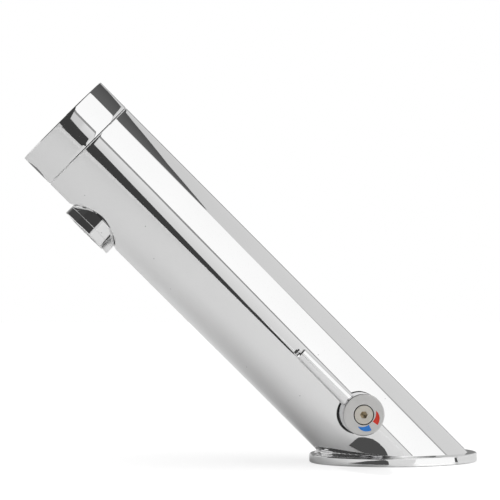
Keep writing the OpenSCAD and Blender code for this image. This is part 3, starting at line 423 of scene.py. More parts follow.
def polished(name, colour, clean, handled, with_seam=False):
    """Chrome: nearly a mirror, with wipe marks and dust; with_seam adds the rolls and the painted shade of the gap
    past the collar.
    """
    made, tree, shader = new_material(name, colour, 1.0, clean)
    wear = place_group(tree, "polish_wear", Clean=clean, Handled=handled)
    dust = place_group(tree, "dust_specks")
    link(tree, wear.outputs["Roughness"], shader.inputs["Roughness"])
    tone = mix_colour(tree, wear.outputs["Tone"], colour, shade(colour, 0.985))
    tone = mix_colour(tree, dust.outputs["Mask"], tone, shade(colour, 0.45))
    if with_seam:
        # Painted shade: the chrome turns almost black in a band past the collar's lower left
        tone = mix_colour(tree, place_group(tree, "painted_gap_shade").outputs["Mask"], tone, shade(colour, 0.06))
        bump(tree, shader, place_group(tree, "seam_roll").outputs["Height"], 1.0)
    link(tree, tone, shader.inputs["Base Color"])
    return made


def moulded(name, colour, low, high, grain=2500.0, depth=0.00002, coat=0.0):
    made, tree, shader = new_material(name, colour, 0.0, low, coat)
    skin = place_group(tree, "moulded_grain", Scale=grain, Low=low, High=high)
    link(tree, skin.outputs["Roughness"], shader.inputs["Roughness"])
    tone = mix_colour(tree, skin.outputs["Tone"], colour, shade(colour, 1.12))
    link(tree, tone, shader.inputs["Base Color"])
    bump(tree, shader, skin.outputs["Height"], depth, 0.5)
    return made


def machined(name, colour, clean, handled, grain=1200.0):
    """Bare metal off the machine: fine grain and a slightly uneven tone."""
    made, tree, shader = new_material(name, colour, 1.0, clean)
    wear = place_group(tree, "polish_wear", Clean=clean, Handled=handled, Patch=140.0)
    skin = place_group(tree, "moulded_grain", Scale=grain, Low=clean, High=handled)
    link(tree, wear.outputs["Roughness"], shader.inputs["Roughness"])
    tone = mix_colour(tree, skin.outputs["Tone"], colour, shade(colour, 0.9))
    link(tree, tone, shader.inputs["Base Color"])
    bump(tree, shader, skin.outputs["Height"], 0.00001, 0.4)
    return made


def chrome(name, with_seam=False):
    finish = bpy.context.scene.tap_finish
    return polished(name, tuple(finish.chrome), finish.chrome_blur, finish.chrome_blur + 0.012, with_seam)


def build_satin():
    """Knob: satin on its face, polished on its side and edge, with painted shade darkening the side."""
    finish = bpy.context.scene.tap_finish
    colour = tuple(finish.satin)
    made, tree, shader = new_material("satin_chrome", colour, 1.0, finish.satin_blur)
    on_face = range_node(tree, depth_node(tree), KNOB_FACE + 0.0003, KNOB_FACE + 0.00005)
    wear = place_group(
        tree, "polish_wear", Clean=finish.satin_blur, Handled=finish.satin_blur + 0.06, Patch=220.0)
    grain = place_group(tree, "moulded_grain", Scale=5200.0, Low=0.0, High=1.0)
    polish = finish.chrome_blur + 0.02
    span = math_node(tree, "SUBTRACT", wear.outputs["Roughness"], polish)
    rough = math_node(tree, "ADD", math_node(tree, "MULTIPLY", span, on_face), polish)
    link(tree, rough, shader.inputs["Roughness"])
    satin = mix_colour(tree, grain.outputs["Tone"], colour, shade(colour, 0.97))
    # Painted shade: the side takes the darker colour, the face the satin
    link(tree, mix_colour(tree, on_face, tuple(finish.knob_side_shade), satin), shader.inputs["Base Color"])
    height = math_node(tree, "MULTIPLY", grain.outputs["Height"], on_face)
    bump(tree, shader, height, 0.000012, 0.5)
    return made


# Colours that no setting changes
# Painted shade: the brown that the screw's socket darkens to with depth
SOCKET_SHADE = (0.34, 0.27, 0.17)
WINDOW_TINT = (0.02, 0.015, 0.02)
WINDOW_DUST = (0.12, 0.11, 0.11)


def build_screw_steel():
    """Turned steel of the knob's screw, with painted shade darkening its socket with depth."""
    finish = bpy.context.scene.tap_finish
    colour = tuple(finish.screw)
    made, tree, shader = new_material("screw_steel", colour, 1.0, 0.36)
    socket_shade = range_node(tree, depth_node(tree), SCREW_FACE + 0.0003, SCREW_FACE + 0.0022)
    rings = place_group(tree, "lathe_rings", Pitch=0.00016)
    wear = place_group(tree, "polish_wear", Clean=0.3, Handled=0.42, Patch=300.0)
    link(tree, wear.outputs["Roughness"], shader.inputs["Roughness"])
    turned_tone = mix_colour(tree, rings.outputs["Tone"], shade(colour, 0.96), shade(colour, 1.03))
    # Painted shade: the socket turns darker brown with depth
    link(tree, mix_colour(tree, socket_shade, turned_tone, SOCKET_SHADE), shader.inputs["Base Color"])
    bump(tree, shader, rings.outputs["Height"], 0.000004, 0.5)
    return made


def enamel(name, colour):
    made, tree, shader = new_material(name, colour, 0.0, 0.3, 0.1)
    shader.inputs["Specular IOR Level"].default_value = 0.2
    skin = place_group(tree, "moulded_grain", Scale=3500.0, Low=0.24, High=0.36)
    dust = place_group(tree, "dust_specks", Spacing=1500.0)
    link(tree, skin.outputs["Roughness"], shader.inputs["Roughness"])
    tone = mix_colour(tree, skin.outputs["Tone"], colour, shade(colour, 1.06))
    link(tree, mix_colour(tree, dust.outputs["Mask"], tone, shade(colour, 0.6)), shader.inputs["Base Color"])
    bump(tree, shader, skin.outputs["Height"], 0.000008, 0.4)
    return made


def build_window():
    """Dark window that lets infrared through: glossy, with specks of dust."""
    made, tree, shader = new_material("window", WINDOW_TINT, 0.0, 0.06)
    shader.inputs["Specular IOR Level"].default_value = 0.12
    skin = place_group(tree, "moulded_grain", Scale=1800.0, Low=0.05, High=0.09)
    dust = place_group(tree, "dust_specks", Spacing=1800.0, Share=0.2)
    link(tree, skin.outputs["Roughness"], shader.inputs["Roughness"])
    link(tree, mix_colour(tree, dust.outputs["Mask"], WINDOW_TINT, WINDOW_DUST), shader.inputs["Base Color"])
    return made


FINISHES = {
    "chrome": lambda: chrome("chrome"),
    # Painted shade: chrome darkened nearly to black for the collar, standing in for the shade in the gap behind
    # the knob
    "chrome_darkened_for_shade": lambda: polished("chrome_darkened_for_shade", (0.07, 0.07, 0.072), 0.08, 0.14),
    "chrome_at_seam": lambda: chrome("chrome_at_seam", True),
    "satin_chrome": build_satin,
    "screw_steel": build_screw_steel,
    "stainless": lambda: machined("stainless", (0.62, 0.60, 0.56), 0.2, 0.34),
    "brass": lambda: machined("brass", (0.72, 0.55, 0.27), 0.18, 0.32),
    "rubber": lambda: moulded("rubber", (0.05, 0.05, 0.055), 0.62, 0.78, 1600.0),
    "black_plastic": lambda: moulded("black_plastic", (0.03, 0.03, 0.032), 0.4, 0.55),
    "window": build_window,
    "diode_clear": lambda: moulded("diode_clear", (0.70, 0.74, 0.80), 0.06, 0.12, 900.0, 0.000005, 0.5),
    "diode_dark": lambda: moulded("diode_dark", (0.03, 0.02, 0.03), 0.06, 0.12, 900.0, 0.000005, 0.5),
    "board": lambda: moulded("board", (0.03, 0.20, 0.10), 0.3, 0.42, 1400.0, 0.00001, 0.3),
    "white_plastic": lambda: moulded("white_plastic", (0.78, 0.78, 0.75), 0.36, 0.5),
    "ceramic_white": lambda: moulded("ceramic_white", (0.88, 0.87, 0.83), 0.12, 0.2, 3200.0, 0.000004),
    "ceramic_grey": lambda: moulded("ceramic_grey", (0.62, 0.61, 0.58), 0.12, 0.2, 3200.0, 0.000004),
    "red_enamel": lambda: enamel("red_enamel", tuple(bpy.context.scene.tap_finish.hot)),
    "blue_enamel": lambda: enamel("blue_enamel", tuple(bpy.context.scene.tap_finish.cold)),
}
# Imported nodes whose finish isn't simply that of their slot
SPECIAL = {"head_cap": "chrome_at_seam"}
SLOTS = {part["node"]: part["material_slot"] for part in frame["record"]["subparts"]}


def finish_named(name):
    return bpy.data.materials.get("finish_" + name) or make_finish(name)


def make_finish(name):
    made = FINISHES[name]()
    made.name = "finish_" + name
    return made


def dress(*names):
    """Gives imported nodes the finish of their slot."""
    for name in names:
        piece = frame["nodes"][name]
        made = finish_named(SPECIAL.get(name, SLOTS[name]))
        piece.data.materials.clear()
        piece.data.materials.append(made)


# Pieces

def put_piece(name, mesh, node_name, body, finish):
    """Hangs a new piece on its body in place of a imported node."""
    mesh.materials.clear()
    mesh.materials.append(finish_named(finish))
    made = bpy.data.objects.new(name, mesh)
    bpy.context.scene.collection.objects.link(made)
    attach(made, body)
    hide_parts(node_name)
    return made


def ring_edges(bm, radius, height):
    """Edges of the ring at that radius and height, in metres."""
    def on_ring(vert):
        return abs(math.hypot(vert.co.x, vert.co.y) - radius) < 2e-6 and abs(vert.co.z - height) < 2e-6
    return [edge for edge in bm.edges if all(on_ring(vert) for vert in edge.verts)]


def turned(outline, rounds, closed=True, steps=144):
    """Spins an outline of (radius, height) in metres; rounds gives some corners their radius."""
    bm = bmesh.new()
    verts = [bm.verts.new((radius, 0, height)) for radius, height in outline]
    pairs = list(zip(verts, verts[1:])) + ([(verts[-1], verts[0])] if closed else [])
    edges = [bm.edges.new(pair) for pair in pairs]
    bmesh.ops.spin(bm, geom=verts + edges, cent=(0, 0, 0), axis=(0, 0, 1), dvec=(0, 0, 0),
                   angle=math.tau, steps=steps, use_merge=True)
    bmesh.ops.remove_doubles(bm, verts=bm.verts, dist=1e-7)
    bmesh.ops.recalc_face_normals(bm, faces=bm.faces)
    for corner, offset in rounds.items():
        bmesh.ops.bevel(bm, geom=ring_edges(bm, *outline[corner]), offset=offset, segments=5,
                        profile=0.5, affect="EDGES", material=-1)
    return bm


def turned_normals(mesh):
    """Corner normals that follow the larger faces, so narrow broken edges leave the walls straight."""
    limit = math.cos(SHARP_TURNED)
    round_vert = {}
    for polygon in mesh.polygons:
        for vert in polygon.vertices:
            round_vert.setdefault(vert, []).append((polygon.normal, polygon.area))
    corners = []
    for polygon in mesh.polygons:
        for vert in polygon.vertices:
            total = Vector()
            for normal, area in round_vert[vert]:
                if normal.dot(polygon.normal) > limit:
                    total += normal * area
            corners.append(total.normalized())
    return corners


def mesh_at(name, bm, middle, outward):
    """Turns a lathe piece's axis outward, moves it to its middle and makes its mesh."""
    place = outward.to_track_quat("Z", "Y").to_matrix().to_4x4()
    place.translation = middle
    bmesh.ops.transform(bm, matrix=place, verts=bm.verts)
    bmesh.ops.recalc_face_normals(bm, faces=bm.faces)
    for face in bm.faces:
        face.smooth = True
    mesh = bpy.data.meshes.new(name)
    bm.to_mesh(mesh)
    bm.free()
    mesh.normals_split_custom_set(turned_normals(mesh))
    return mesh


def make_collar():
    """Collar behind the knob in chrome darkened as painted shade of the gap, its front edge barely broken."""
    edge = bpy.context.scene.tap_turned.collar_edge
    bore, rim = 0.0046, 0.0095
    back, front = 0.02082, 0.02445
    bm = turned(((bore, back), (rim, back), (rim, front), (bore, front)), {2: edge})
    mesh = mesh_at("shadow_ring_turned", bm, AT_KNOB, TO_VIEWER)
    put_piece("shadow_ring_turned", mesh, "shadow_ring", "tap", "chrome_darkened_for_shade")


def pulled_down(bm, edges, depth):
    """Extrudes edges straight down and returns the new points."""
    made = bmesh.ops.extrude_edge_only(bm, edges=edges)["geom"]
    verts = [item for item in made if isinstance(item, bmesh.types.BMVert)]
    bmesh.ops.translate(bm, verts=verts, vec=(0, 0, -depth))
    return verts


def make_screw():
    """Countersunk screw with a drilled hexagon socket and a broken edge."""
    head = bpy.context.scene.tap_turned.screw_head
    # Heights from the tube's middle
    face, land, neck, end = 0.03695, 0.03655, 0.0346, 0.02295
    shank, chamfer = 0.0025, 0.0003
    # The socket: radius of its countersink, its key's width, and the depths of its walls, drill cone and tip
    mouth, key, wall_deep, cone_deep, tip_deep = 0.0021, 0.003, 0.0019, 0.0003, 0.0026
    outline = ((0, end), (shank - chamfer, end), (shank, end + chamfer), (shank, neck), (head, land),
               (head, face), (mouth, face))
    bm = turned(outline, {4: 0.0001, 5: 0.00012}, closed=False)
    rim = ring_edges(bm, mouth, face)
    sides = 6
    place = Matrix.Translation((0, 0, face)) @ Matrix.Rotation(math.pi / sides, 4, "Z")
    corner = key / 2 / math.cos(math.pi / sides)
    made = bmesh.ops.create_circle(bm, segments=sides, radius=corner, matrix=place)
    hexagon = list({edge for vert in made["verts"] for edge in vert.link_edges})
    bmesh.ops.bridge_loops(bm, edges=rim + hexagon)
    floor = pulled_down(bm, hexagon, wall_deep)
    floor_edges = [edge for edge in bm.edges if all(vert in floor for vert in edge.verts)]
    tip = pulled_down(bm, floor_edges, cone_deep)
    bmesh.ops.pointmerge(bm, verts=tip, merge_co=(0, 0, face - tip_deep))
    bmesh.ops.bevel(bm, geom=hexagon, offset=0.00008, segments=2, profile=0.5, affect="EDGES", material=-1)
    mesh = mesh_at("knob_screw_turned", bm, AT_KNOB, TO_VIEWER)
    put_piece("knob_screw_turned", mesh, "knob_screw", "lever", "screw_steel")


def make_aerator_ring():
    """Ring of the aerator, with its rounded mouth and a fine groove round its wall."""
    turned_edges = bpy.context.scene.tap_turned
    # Radii, from the mouth outward
    mouth, bore, thread_root, thread, wall = 0.01, 0.0105, 0.0107, 0.01195, 0.01295
    # Heights from the tube's axis, from the thread's end to the face
    thread_end, seat, shoulder, lip, face = 0.01432, 0.01622, 0.01942, 0.0274, 0.0285
    bevel, groove_half = 0.0003, 0.00013
    groove, depth = face - 0.0037, turned_edges.ring_groove
    outline = (
        (thread_root, thread_end), (thread, thread_end), (thread, shoulder), (wall - bevel, shoulder),
        (wall, shoulder + bevel), (wall, groove - groove_half), (wall - depth, groove),
        (wall, groove + groove_half), (wall, face), (mouth, face), (mouth, lip), (bore, lip), (bore, seat))
    bm = turned(outline, {8: turned_edges.ring_edge, 9: bevel})
    middle = TUBE_START + UP_TUBE * HOLE_PLACE
    mesh = mesh_at("aerator_ring_turned", bm, middle, -OVER_TUBE)
    put_piece("aerator_ring_turned", mesh, "aerator_ring", "tap", "chrome")


def spot(point):
    return tuple(round(value, 5) for value in point)


def polished_normals(mesh, given, below):
    """Corner normals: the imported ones, and under a height those of the curves that flat facets stand for."""
    corners = [None] * len(mesh.loops)
    round_vert = {}
    for polygon in mesh.polygons:
        middle = spot(polygon.center)
        own = [given.get((middle, spot(mesh.vertices[v].co)), polygon.normal) for v in polygon.vertices]
        flat = all((normal - polygon.normal).length < 0.002 for normal in own)
        for vert, loop, normal in zip(polygon.vertices, polygon.loop_indices, own):
            corners[loop] = normal
            round_vert.setdefault(vert, []).append((polygon, normal, polygon.area))
        polygon.use_smooth = True
        if flat and polygon.center.z < below:
            corners[polygon.loop_start] = None
    limit = math.cos(SHARP_CASTING)
    for polygon in mesh.polygons:
        if corners[polygon.loop_start] is not None:
            continue
        for vert, loop in zip(polygon.vertices, polygon.loop_indices):
            total = Vector()
            for other, normal, weight in round_vert[vert]:
                if other.normal.dot(polygon.normal) > limit:
                    total += normal * weight
            corners[loop] = total.normalized() if total.length > 0 else polygon.normal.copy()
    return corners


# Height under which the casting's flat facets stand for curves
FOOT_TOP = 0.009


def make_body():
    """The casting, with its foot's facets polished into the curves they stand for."""
    source = frame["nodes"]["spout_body"].data
    given = {}
    for polygon in source.polygons:
        for vert, loop in zip(polygon.vertices, polygon.loop_indices):
            key = (spot(polygon.center), spot(source.vertices[vert].co))
            given[key] = Vector(source.corner_normals[loop].vector)
    bm = bmesh.new()
    bm.from_mesh(source)
    bmesh.ops.remove_doubles(bm, verts=bm.verts, dist=1e-7)
    mesh = bpy.data.meshes.new("spout_body_polished")
    bm.to_mesh(mesh)
    bm.free()
    mesh.normals_split_custom_set(polished_normals(mesh, given, FOOT_TOP))
    put_piece("spout_body_polished", mesh, "spout_body", "tap", "chrome_at_seam")


def make_spring():
    """The plunger's spring, merged from its imported coil and smoothed."""
    bm = bmesh.new()
    bm.from_mesh(frame["nodes"]["plunger_spring"].data)
    bmesh.ops.remove_doubles(bm, verts=bm.verts, dist=1e-7)
    for face in bm.faces:
        face.smooth = True
    mesh = bpy.data.meshes.new("plunger_spring_wound")
    bm.to_mesh(mesh)
    bm.free()
    mesh.set_sharp_from_angle(angle=SHARP_SPRING)
    made = put_piece("plunger_spring_wound", mesh, "plunger_spring", "tap", "stainless")
    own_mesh(made)


# Stage

def card_material():
    """Glow of the studio's cards; each card's corners carry their own level."""
    made = bpy.data.materials.get("studio_card")
    if made:
        return made
    made = bpy.data.materials.new("studio_card")
    made.use_nodes = True
    tree = made.node_tree
    tree.nodes.clear()
    out = node(tree, "ShaderNodeOutputMaterial")
    glow = node(tree, "ShaderNodeEmission")
    level = node(tree, "ShaderNodeAttribute", attribute_name="level")
    link(tree, level.outputs["Fac"], glow.inputs["Strength"])
    link(tree, glow.outputs[0], out.inputs["Surface"])
    return made


def tube_point(angle, along, distance):
    """A point at that distance from the tube's axis; the angle runs from the viewer over the tube."""
    turn = math.radians(angle)
    outward = TO_VIEWER * math.cos(turn) + OVER_TUBE * math.sin(turn)
    return TUBE_START + UP_TUBE * along + outward * distance


def put_card(name, bm):
    mesh = bpy.data.meshes.new(name)
    bm.to_mesh(mesh)
    bm.free()
    mesh.materials.append(card_material())
    made = bpy.data.objects.new(name, mesh)
    bpy.context.scene.collection.objects.link(made)
    made.visible_camera = False
    made.visible_shadow = False
    return made


def flat_card(name, corners, level):
    bm = bmesh.new()
    layer = bm.verts.layers.float.new("level")
    face = bm.faces.new([bm.verts.new(Vector(corner) * MM) for corner in corners])
    for vert in bm.verts:
        vert[layer] = level
    bmesh.ops.triangulate(bm, faces=[face])
    return put_card(name, bm)


def bent_card(name, rows, distance, first, last, cuts):
    """A card bent round the tube: rows of (place along it in mm, first angle, last angle)."""
    bm = bmesh.new()
    layer = bm.verts.layers.float.new("level")
    before = None
    for along, start, end in rows:
        row = []
        for cut in range(cuts + 1):
            share = cut / cuts
            vert = bm.verts.new(tube_point(start + (end - start) * share, along * MM, distance))
            vert[layer] = first + (last - first) * share
            row.append(vert)
        edges = [bm.edges.new(pair) for pair in zip(row, row[1:])]
        if before:
            bmesh.ops.bridge_loops(bm, edges=before + edges)
        before = edges
    return put_card(name, bm)


# The camera as it fits the photograph's outline of the tap
CAMERA_PLACE = Vector((-0.18155, -0.959128, 0.102485))
CAMERA_FORWARD = Vector((0.11947492, 0.99282121, -0.00563882)).normalized()
CAMERA_ROLL = math.radians(-0.041)
CAMERA_LENS = 152.752


def make_camera():
    right = CAMERA_FORWARD.cross(Vector((0, 0, 1))).normalized()
    up = right.cross(CAMERA_FORWARD)
    across = right * math.cos(CAMERA_ROLL) + up * math.sin(CAMERA_ROLL)
    upward = -right * math.sin(CAMERA_ROLL) + up * math.cos(CAMERA_ROLL)
    camera = bpy.data.objects.new("Camera", bpy.data.cameras.new("Camera"))
    bpy.context.scene.collection.objects.link(camera)
    place = Matrix((across, upward, -CAMERA_FORWARD)).transposed().to_4x4()
    place.translation = CAMERA_PLACE
    camera.matrix_world = place
    camera.data.lens = CAMERA_LENS
    camera.data.sensor_width = 36
    camera.data.clip_start = 0.01
    bpy.context.scene.camera = camera


# Room's walls: how far a direction runs up the tube (-1 to 1), and the walls' share of their level there
WALLS = ((-1.0, 0.80), (-0.45, 1.2), (-0.16, 1.03), (0.02, 0.96), (0.3, 0.84), (0.55, 0.3), (0.8, 0.09))
# The backdrop's middle direction, and the cosines between which it fades into the walls
BACKDROP = (0.1195, 0.9928, 0)
BACKDROP_FADE = (0.985, 0.992)


def make_room(level):
    """World: white behind the tap for the camera, grey studio walls for the chrome."""
    world = bpy.data.worlds.new("Studio")
    bpy.context.scene.world = world
    world.use_nodes = True
    tree = world.node_tree
    tree.nodes.clear()
    out = node(tree, "ShaderNodeOutputWorld")
    path = node(tree, "ShaderNodeLightPath")
    mix = node(tree, "ShaderNodeMixShader")
    white = node(tree, "ShaderNodeBackground")
    white.inputs["Color"].default_value = (1, 1, 1, 1)
    walls = node(tree, "ShaderNodeBackground")
    coords = node(tree, "ShaderNodeTexCoord").outputs["Generated"]
    along = dot_node(tree, coords, UP_TUBE)
    ramp = node(tree, "ShaderNodeValToRGB")
    link(tree, range_node(tree, along, -1.0, 1.0), ramp.inputs["Fac"])
    ramp.color_ramp.interpolation = "EASE"
    marks = ramp.color_ramp.elements
    while len(marks) < len(WALLS):
        marks.new(0.5)
    for mark, (where, share) in zip(marks, WALLS):
        mark.position = (where + 1) / 2
        mark.color = (level * share,) * 3 + (1,)
    link(tree, ramp.outputs["Color"], walls.inputs["Color"])
    # The backdrop behind the tap is white in the chrome too, where the chrome mirrors it
    behind = range_node(tree, dot_node(tree, coords, BACKDROP), *BACKDROP_FADE)
    glossy = math_node(tree, "MAXIMUM", path.outputs["Is Glossy Ray"], path.outputs["Is Transmission Ray"])
    mirrored = math_node(tree, "MULTIPLY", glossy, behind)
    seen = math_node(tree, "MAXIMUM", path.outputs["Is Camera Ray"], mirrored)
    link(tree, seen, mix.inputs[0])
    link(tree, walls.outputs[0], mix.inputs[1])
    link(tree, white.outputs[0], mix.inputs[2])
    link(tree, mix.outputs[0], out.inputs["Surface"])


TOP_LIGHT_PLACE = (-0.1, -0.25, 1.3)
TOP_LIGHT_SIZE = 1.4


def make_top_light(power):
    """Soft light from above for the floor and the matt surfaces; the chrome doesn't mirror it."""
    lamp = bpy.data.lights.new("top_light", "AREA")
    lamp.size = TOP_LIGHT_SIZE
    lamp.energy = power
    made = bpy.data.objects.new("top_light", lamp)
    bpy.context.scene.collection.objects.link(made)
    made.location = TOP_LIGHT_PLACE
    made.visible_glossy = False
    made.visible_camera = False


FLOOR_RADIUS = 1.6
# What the camera sees of the floor: a faint matt grey for the shadow, over a glow that rises with distance
FLOOR_FAINT = (0.25, 0.25, 0.25, 1)
FLOOR_NEAR, FLOOR_FAR = 0.06, 0.5
FLOOR_GLOW_NEAR, FLOOR_GLOW_FAR = 0.8, 1.0
# What the chrome sees of it
FLOOR_PALE = (0.66, 0.66, 0.66, 1)
FLOOR_PALE_GLOW = 0.1


def glowing_matt(tree, colour, strength):
    """A matt shader with a glow added; strength is a number or a socket."""
    matt = node(tree, "ShaderNodeBsdfDiffuse")
    matt.inputs["Color"].default_value = colour
    glow = node(tree, "ShaderNodeEmission")
    if isinstance(strength, float):
        glow.inputs["Strength"].default_value = strength
    else:
        link(tree, strength, glow.inputs["Strength"])
    both = node(tree, "ShaderNodeAddShader")
    link(tree, matt.outputs[0], both.inputs[0])
    link(tree, glow.outputs[0], both.inputs[1])
    return both.outputs[0]


def make_floor():
    """A pale floor that keeps a faint shadow of the foot and runs out into white."""
    bm = bmesh.new()
    bmesh.ops.create_circle(bm, cap_ends=True, segments=96, radius=FLOOR_RADIUS)
    mesh = bpy.data.meshes.new("floor")
    bm.to_mesh(mesh)
    bm.free()
    made = bpy.data.materials.new("floor")
    made.use_nodes = True
    tree = made.node_tree
    tree.nodes.clear()
    out = node(tree, "ShaderNodeOutputMaterial")
    path = node(tree, "ShaderNodeLightPath")
    away = length_node(tree, object_coords(tree))
    fade = range_node(tree, away, FLOOR_NEAR, FLOOR_FAR, FLOOR_GLOW_NEAR, FLOOR_GLOW_FAR)
    mix = node(tree, "ShaderNodeMixShader")
    link(tree, path.outputs["Is Camera Ray"], mix.inputs[0])
    link(tree, glowing_matt(tree, FLOOR_PALE, FLOOR_PALE_GLOW), mix.inputs[1])
    link(tree, glowing_matt(tree, FLOOR_FAINT, fade), mix.inputs[2])
    link(tree, mix.outputs[0], out.inputs["Surface"])
    mesh.materials.append(made)
    floor = bpy.data.objects.new("floor", mesh)
    bpy.context.scene.collection.objects.link(floor)


# Outlines of the bent cards: (place along the tube in mm, first angle, last angle)
SOFTBOX = ((420, 34, 96), (217, 29.8, 87.3), (192, 29.3, 85.9), (151, 28.8, 85.0), (110, 27.9, 84.4),
           (69, 26.6, 83.0), (18, 25.1, 82.1), (-44, 23.2, 79.7), (-96, 21.0, 77.9), (-400, 12, 70))
SOFTBOX_FRAME = ((420, 28, 34), (217, 25.5, 29.8), (151, 25.2, 28.8), (110, 23.8, 27.9),
                 (69, 23.5, 26.6), (18, 22.4, 25.1), (-44, 21.2, 23.2), (-96, 19.4, 21), (-400, 10.6, 12))
SOFTBOX_EDGE = ((40, 83.3, 83.6), (0, 81.6, 83.2), (-44, 79.7, 82.4), (-96, 77.9, 81.1), (-400, 70, 74))
FRONT_WALL = ((217, 8.7, 25.5), (192, 7.1, 26.1), (151, 4.3, 25.2), (111, 1.7, 23.8), (71, -0.6, 23.5),
              (20, -3.7, 22.4), (-42, -6.0, 21.2), (-96, -8, 19.4), (-400, -14, 10.6))
LENS_OVER = ((140, -10, 3), (217, -12, 8.7), (323, -12, 34), (637, -12, 80), (1256, -12, 80))
FLAG = ((700, 87.6, 151), (250, 87.6, 151), (221, 87.6, 149), (192, 87.0, 125), (154, 86.8, 103),
        (112, 85.6, 88))
EDGE_FLAG = ((500, 156, 176), (-400, 156, 176))

# Outlines of the flat cards, in mm: the dark gap with the lens, in front and on the table
LENS_FRONT = ((-330, -900, 2), (-268, -900, 2), (-286, -900, 19), (-262, -900, 40), (-52, -900, 254),
              (-49, -900, 214), (-46, -900, 149), (-41, -900, 85), (-34, -900, 24), (-31, -900, 2))
LENS_TABLE = ((-262, -975, 1), (-199, -800, 1), (-149, -635, 1), (-107, -500, 1), (-66, -348, 1),
              (-53, -290, 1), (-34, -290, 1), (-40, -499, 1), (-25, -975, 1))
# A white card far to the left, then what lies on the table in front of the foot
LEFT_WINDOW = ((-729, -23, 67), (-525, 482, 67), (-491, 448, 268), (-681, -22, 268))
DARK_FOOT = ((-29.5, -25, 1), (-28, -34, 1), (-26.3, -41, 1), (-22, -49, 1), (-15.3, -58, 1),
             (-11.4, -57, 1), (-8.6, -48, 1), (-7, -28, 1))
WHITE_FOOT = ((5, -29.5, 1), (15, -49, 1), (20, -62, 1), (70, -60, 1), (60, -34, 1), (28, -22, 1))
FOOT_LINE = ((28, -22, 1), (60, -34, 1), (62, -31, 1), (29, -20.5, 1))

# Cards bent round the tube: outline, distance from its axis, light level, shares of it at the first and the
# last angle, and how many cuts bend the card
BENT_CARDS = {
    # Large softbox to the right and above, with a dark frame down its left side
    "softbox": (SOFTBOX, 0.62, "key", 1.0, 0.98, 16),
    "softbox_frame": (SOFTBOX_FRAME, 0.615, "room", 0.45, 0.45, 4),
    "softbox_edge": (SOFTBOX_EDGE, 0.61, "room", 0.6, 0.6, 4),
    # Pale wall between the softbox and the lens
    "front_wall": (FRONT_WALL, 0.64, "room", 1.04, 1.2, 16),
    # The dark gap with the lens in it, up over the head
    "lens_over": (LENS_OVER, 0.6, "dark", 1.0, 1.0, 16),
    # Dark flag over the head, and the thin edge of the back light
    "flag": (FLAG, 0.6, "dark", 2.6, 1.7, 16),
    "edge_flag": (EDGE_FLAG, 0.6, "room", 0.35, 0.35, 16),
}
# Flat cards: outline, light level and share of it
FLAT_CARDS = {
    # The dark gap in front and on the table
    "lens_front": (LENS_FRONT, "dark", 1.0),
    "lens_table": (LENS_TABLE, "dark", 1.0),
    # Dark and white sheets on the table by the foot
    "foot_dark": (DARK_FOOT, "dark", 1.6),
    "foot_white": (WHITE_FOOT, "key", 1.0),
    "foot_line": (FOOT_LINE, "dark", 2.0),
    # White card to the left, for the bright spot on the foot's upper edge
    "left_window": (LEFT_WINDOW, "key", 1.0),
}


def make_cards(stage):
    """Hangs the cards that the chrome mirrors."""
    for name, (rows, distance, light, first, last, cuts) in BENT_CARDS.items():
        level = getattr(stage, light)
        bent_card(name, rows, distance, level * first, level * last, cuts)
    for name, (corners, light, share) in FLAT_CARDS.items():
        made = flat_card(name, corners, getattr(stage, light) * share)
        # The left card shows in the chrome only, so that it doesn't light the floor
        made.visible_diffuse = name != "left_window"


# Operators

class TAP_OT_stage(Operator):
    """Makes the camera, the white backdrop, the floor, the studio cards and the top light"""

    bl_idname = "tap.stage"
    bl_label = "Stage"

    def execute(self, context):
        stage = context.scene.tap_stage
        make_camera()
        make_room(stage.room)
        make_floor()
        make_cards(stage)
        make_top_light(stage.top)
        return {"FINISHED"}


class TAP_OT_body(Operator):
    """Makes the polished casting: the leaning tube with its foot"""

    bl_idname = "tap.body"
    bl_label = "Body and foot"

    def execute(self, context):
        make_body()
        return {"FINISHED"}


class TAP_OT_cap(Operator):
    """Finishes the cap and its seal"""

    bl_idname = "tap.cap"
    bl_label = "Cap"

    def execute(self, context):
        dress("head_cap", "cap_seal")
        return {"FINISHED"}


class TAP_OT_connections(Operator):
    """Finishes the seal, the grommet and the strainers under the foot"""

    bl_idname = "tap.connections"
    bl_label = "Connections"

    def execute(self, context):
        dress("base_seal", "cable_grommet", "inlet_strainers")
        return {"FINISHED"}


class TAP_OT_sensor(Operator):
    """Finishes the sensor window and what lies behind it"""

    bl_idname = "tap.sensor"
    bl_label = "Sensor"

    def execute(self, context):
        dress("sensor_window", "sensor_housing", "sensor_board", "infrared_emitter", "infrared_receiver")
        return {"FINISHED"}


class TAP_OT_aerator_ring(Operator):
    """Makes the aerator's turned ring"""

    bl_idname = "tap.aerator_ring"
    bl_label = "Aerator ring"

    def execute(self, context):
        make_aerator_ring()
        return {"FINISHED"}


class TAP_OT_outlet(Operator):
    """Finishes the outlet's nozzle and pipe and what sits in the aerator"""

    bl_idname = "tap.outlet"
    bl_label = "Outlet and aerator"

    def execute(self, context):
        dress("outlet_nozzle", "outlet_pipe", "pipe_seals", "aerator_washer",
              "aerator_screen", "aerator_insert")
        return {"FINISHED"}


class TAP_OT_valve(Operator):
    """Finishes the solenoid valve inside the tube"""

    bl_idname = "tap.valve"
    bl_label = "Valve"

    def execute(self, context):
        dress("valve_block", "valve_seal", "valve_screws", "diaphragm", "plunger_guide", "plunger",
              "solenoid_coil", "coil_nut")
        return {"FINISHED"}


class TAP_OT_spring(Operator):
    """Makes the plunger's spring from its imported coil"""

    bl_idname = "tap.spring"
    bl_label = "Plunger spring"

    def execute(self, context):
        make_spring()
        return {"FINISHED"}


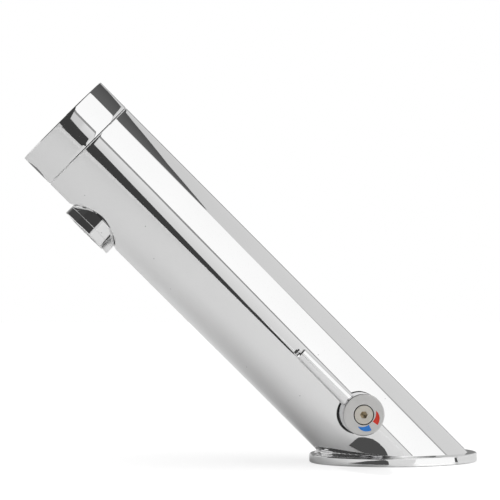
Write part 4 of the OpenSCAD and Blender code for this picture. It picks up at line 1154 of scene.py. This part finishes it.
class TAP_OT_cartridge(Operator):
    """Finishes the mixing cartridge behind the knob"""

    bl_idname = "tap.cartridge"
    bl_label = "Cartridge"

    def execute(self, context):
        dress("cartridge_seal", "fixed_disc", "moving_disc", "cartridge_housing", "spindle",
              "spindle_seal", "gland_nut")
        return {"FINISHED"}


class TAP_OT_knob(Operator):
    """Finishes the knob with its lever and marks"""

    bl_idname = "tap.knob"
    bl_label = "Knob and lever"

    def execute(self, context):
        dress("temperature_knob", "lever_rod", "hot_mark", "cold_mark")
        return {"FINISHED"}


class TAP_OT_collar(Operator):
    """Makes the collar behind the knob"""

    bl_idname = "tap.collar"
    bl_label = "Collar"

    def execute(self, context):
        make_collar()
        return {"FINISHED"}


class TAP_OT_screw(Operator):
    """Makes the knob's screw with its hexagon socket"""

    bl_idname = "tap.screw"
    bl_label = "Knob screw"

    def execute(self, context):
        make_screw()
        return {"FINISHED"}


class TAP_PT_panel(Panel):
    """Lists the steps that build the tap"""

    bl_idname = "TAP_PT_panel"
    bl_label = "Touchless basin tap"
    bl_space_type = "VIEW_3D"
    bl_region_type = "UI"
    bl_category = "Tap"

    def draw(self, context):
        for step in STEPS:
            self.layout.operator(step.bl_idname)
        for settings in (context.scene.tap_finish, context.scene.tap_turned, context.scene.tap_stage):
            for key in settings.bl_rna.properties.keys():
                if key not in ("rna_type", "name"):
                    self.layout.prop(settings, key)


STEPS = (
    TAP_OT_stage, TAP_OT_body, TAP_OT_cap, TAP_OT_connections, TAP_OT_sensor, TAP_OT_outlet,
    TAP_OT_aerator_ring, TAP_OT_valve, TAP_OT_spring, TAP_OT_cartridge, TAP_OT_knob, TAP_OT_collar,
    TAP_OT_screw,
)
CLASSES = (TapFinish, TapTurned, TapStage, *STEPS, TAP_PT_panel)


def register():
    for made in CLASSES:
        bpy.utils.register_class(made)
    bpy.types.Scene.tap_finish = PointerProperty(type=TapFinish)
    bpy.types.Scene.tap_turned = PointerProperty(type=TapTurned)
    bpy.types.Scene.tap_stage = PointerProperty(type=TapStage)


def unregister():
    del bpy.types.Scene.tap_finish
    del bpy.types.Scene.tap_turned
    del bpy.types.Scene.tap_stage
    for made in reversed(CLASSES):
        bpy.utils.unregister_class(made)


def main():
    register()
    bpy.context.scene.view_settings.view_transform = "Standard"
    bpy.ops.tap.stage()
    bpy.ops.tap.body()
    bpy.ops.tap.cap()
    bpy.ops.tap.connections()
    bpy.ops.tap.sensor()
    bpy.ops.tap.outlet()
    bpy.ops.tap.aerator_ring()
    bpy.ops.tap.valve()
    bpy.ops.tap.spring()
    bpy.ops.tap.cartridge()
    bpy.ops.tap.knob()
    bpy.ops.tap.collar()
    bpy.ops.tap.screw()


if __name__ == "__main__":
    main()
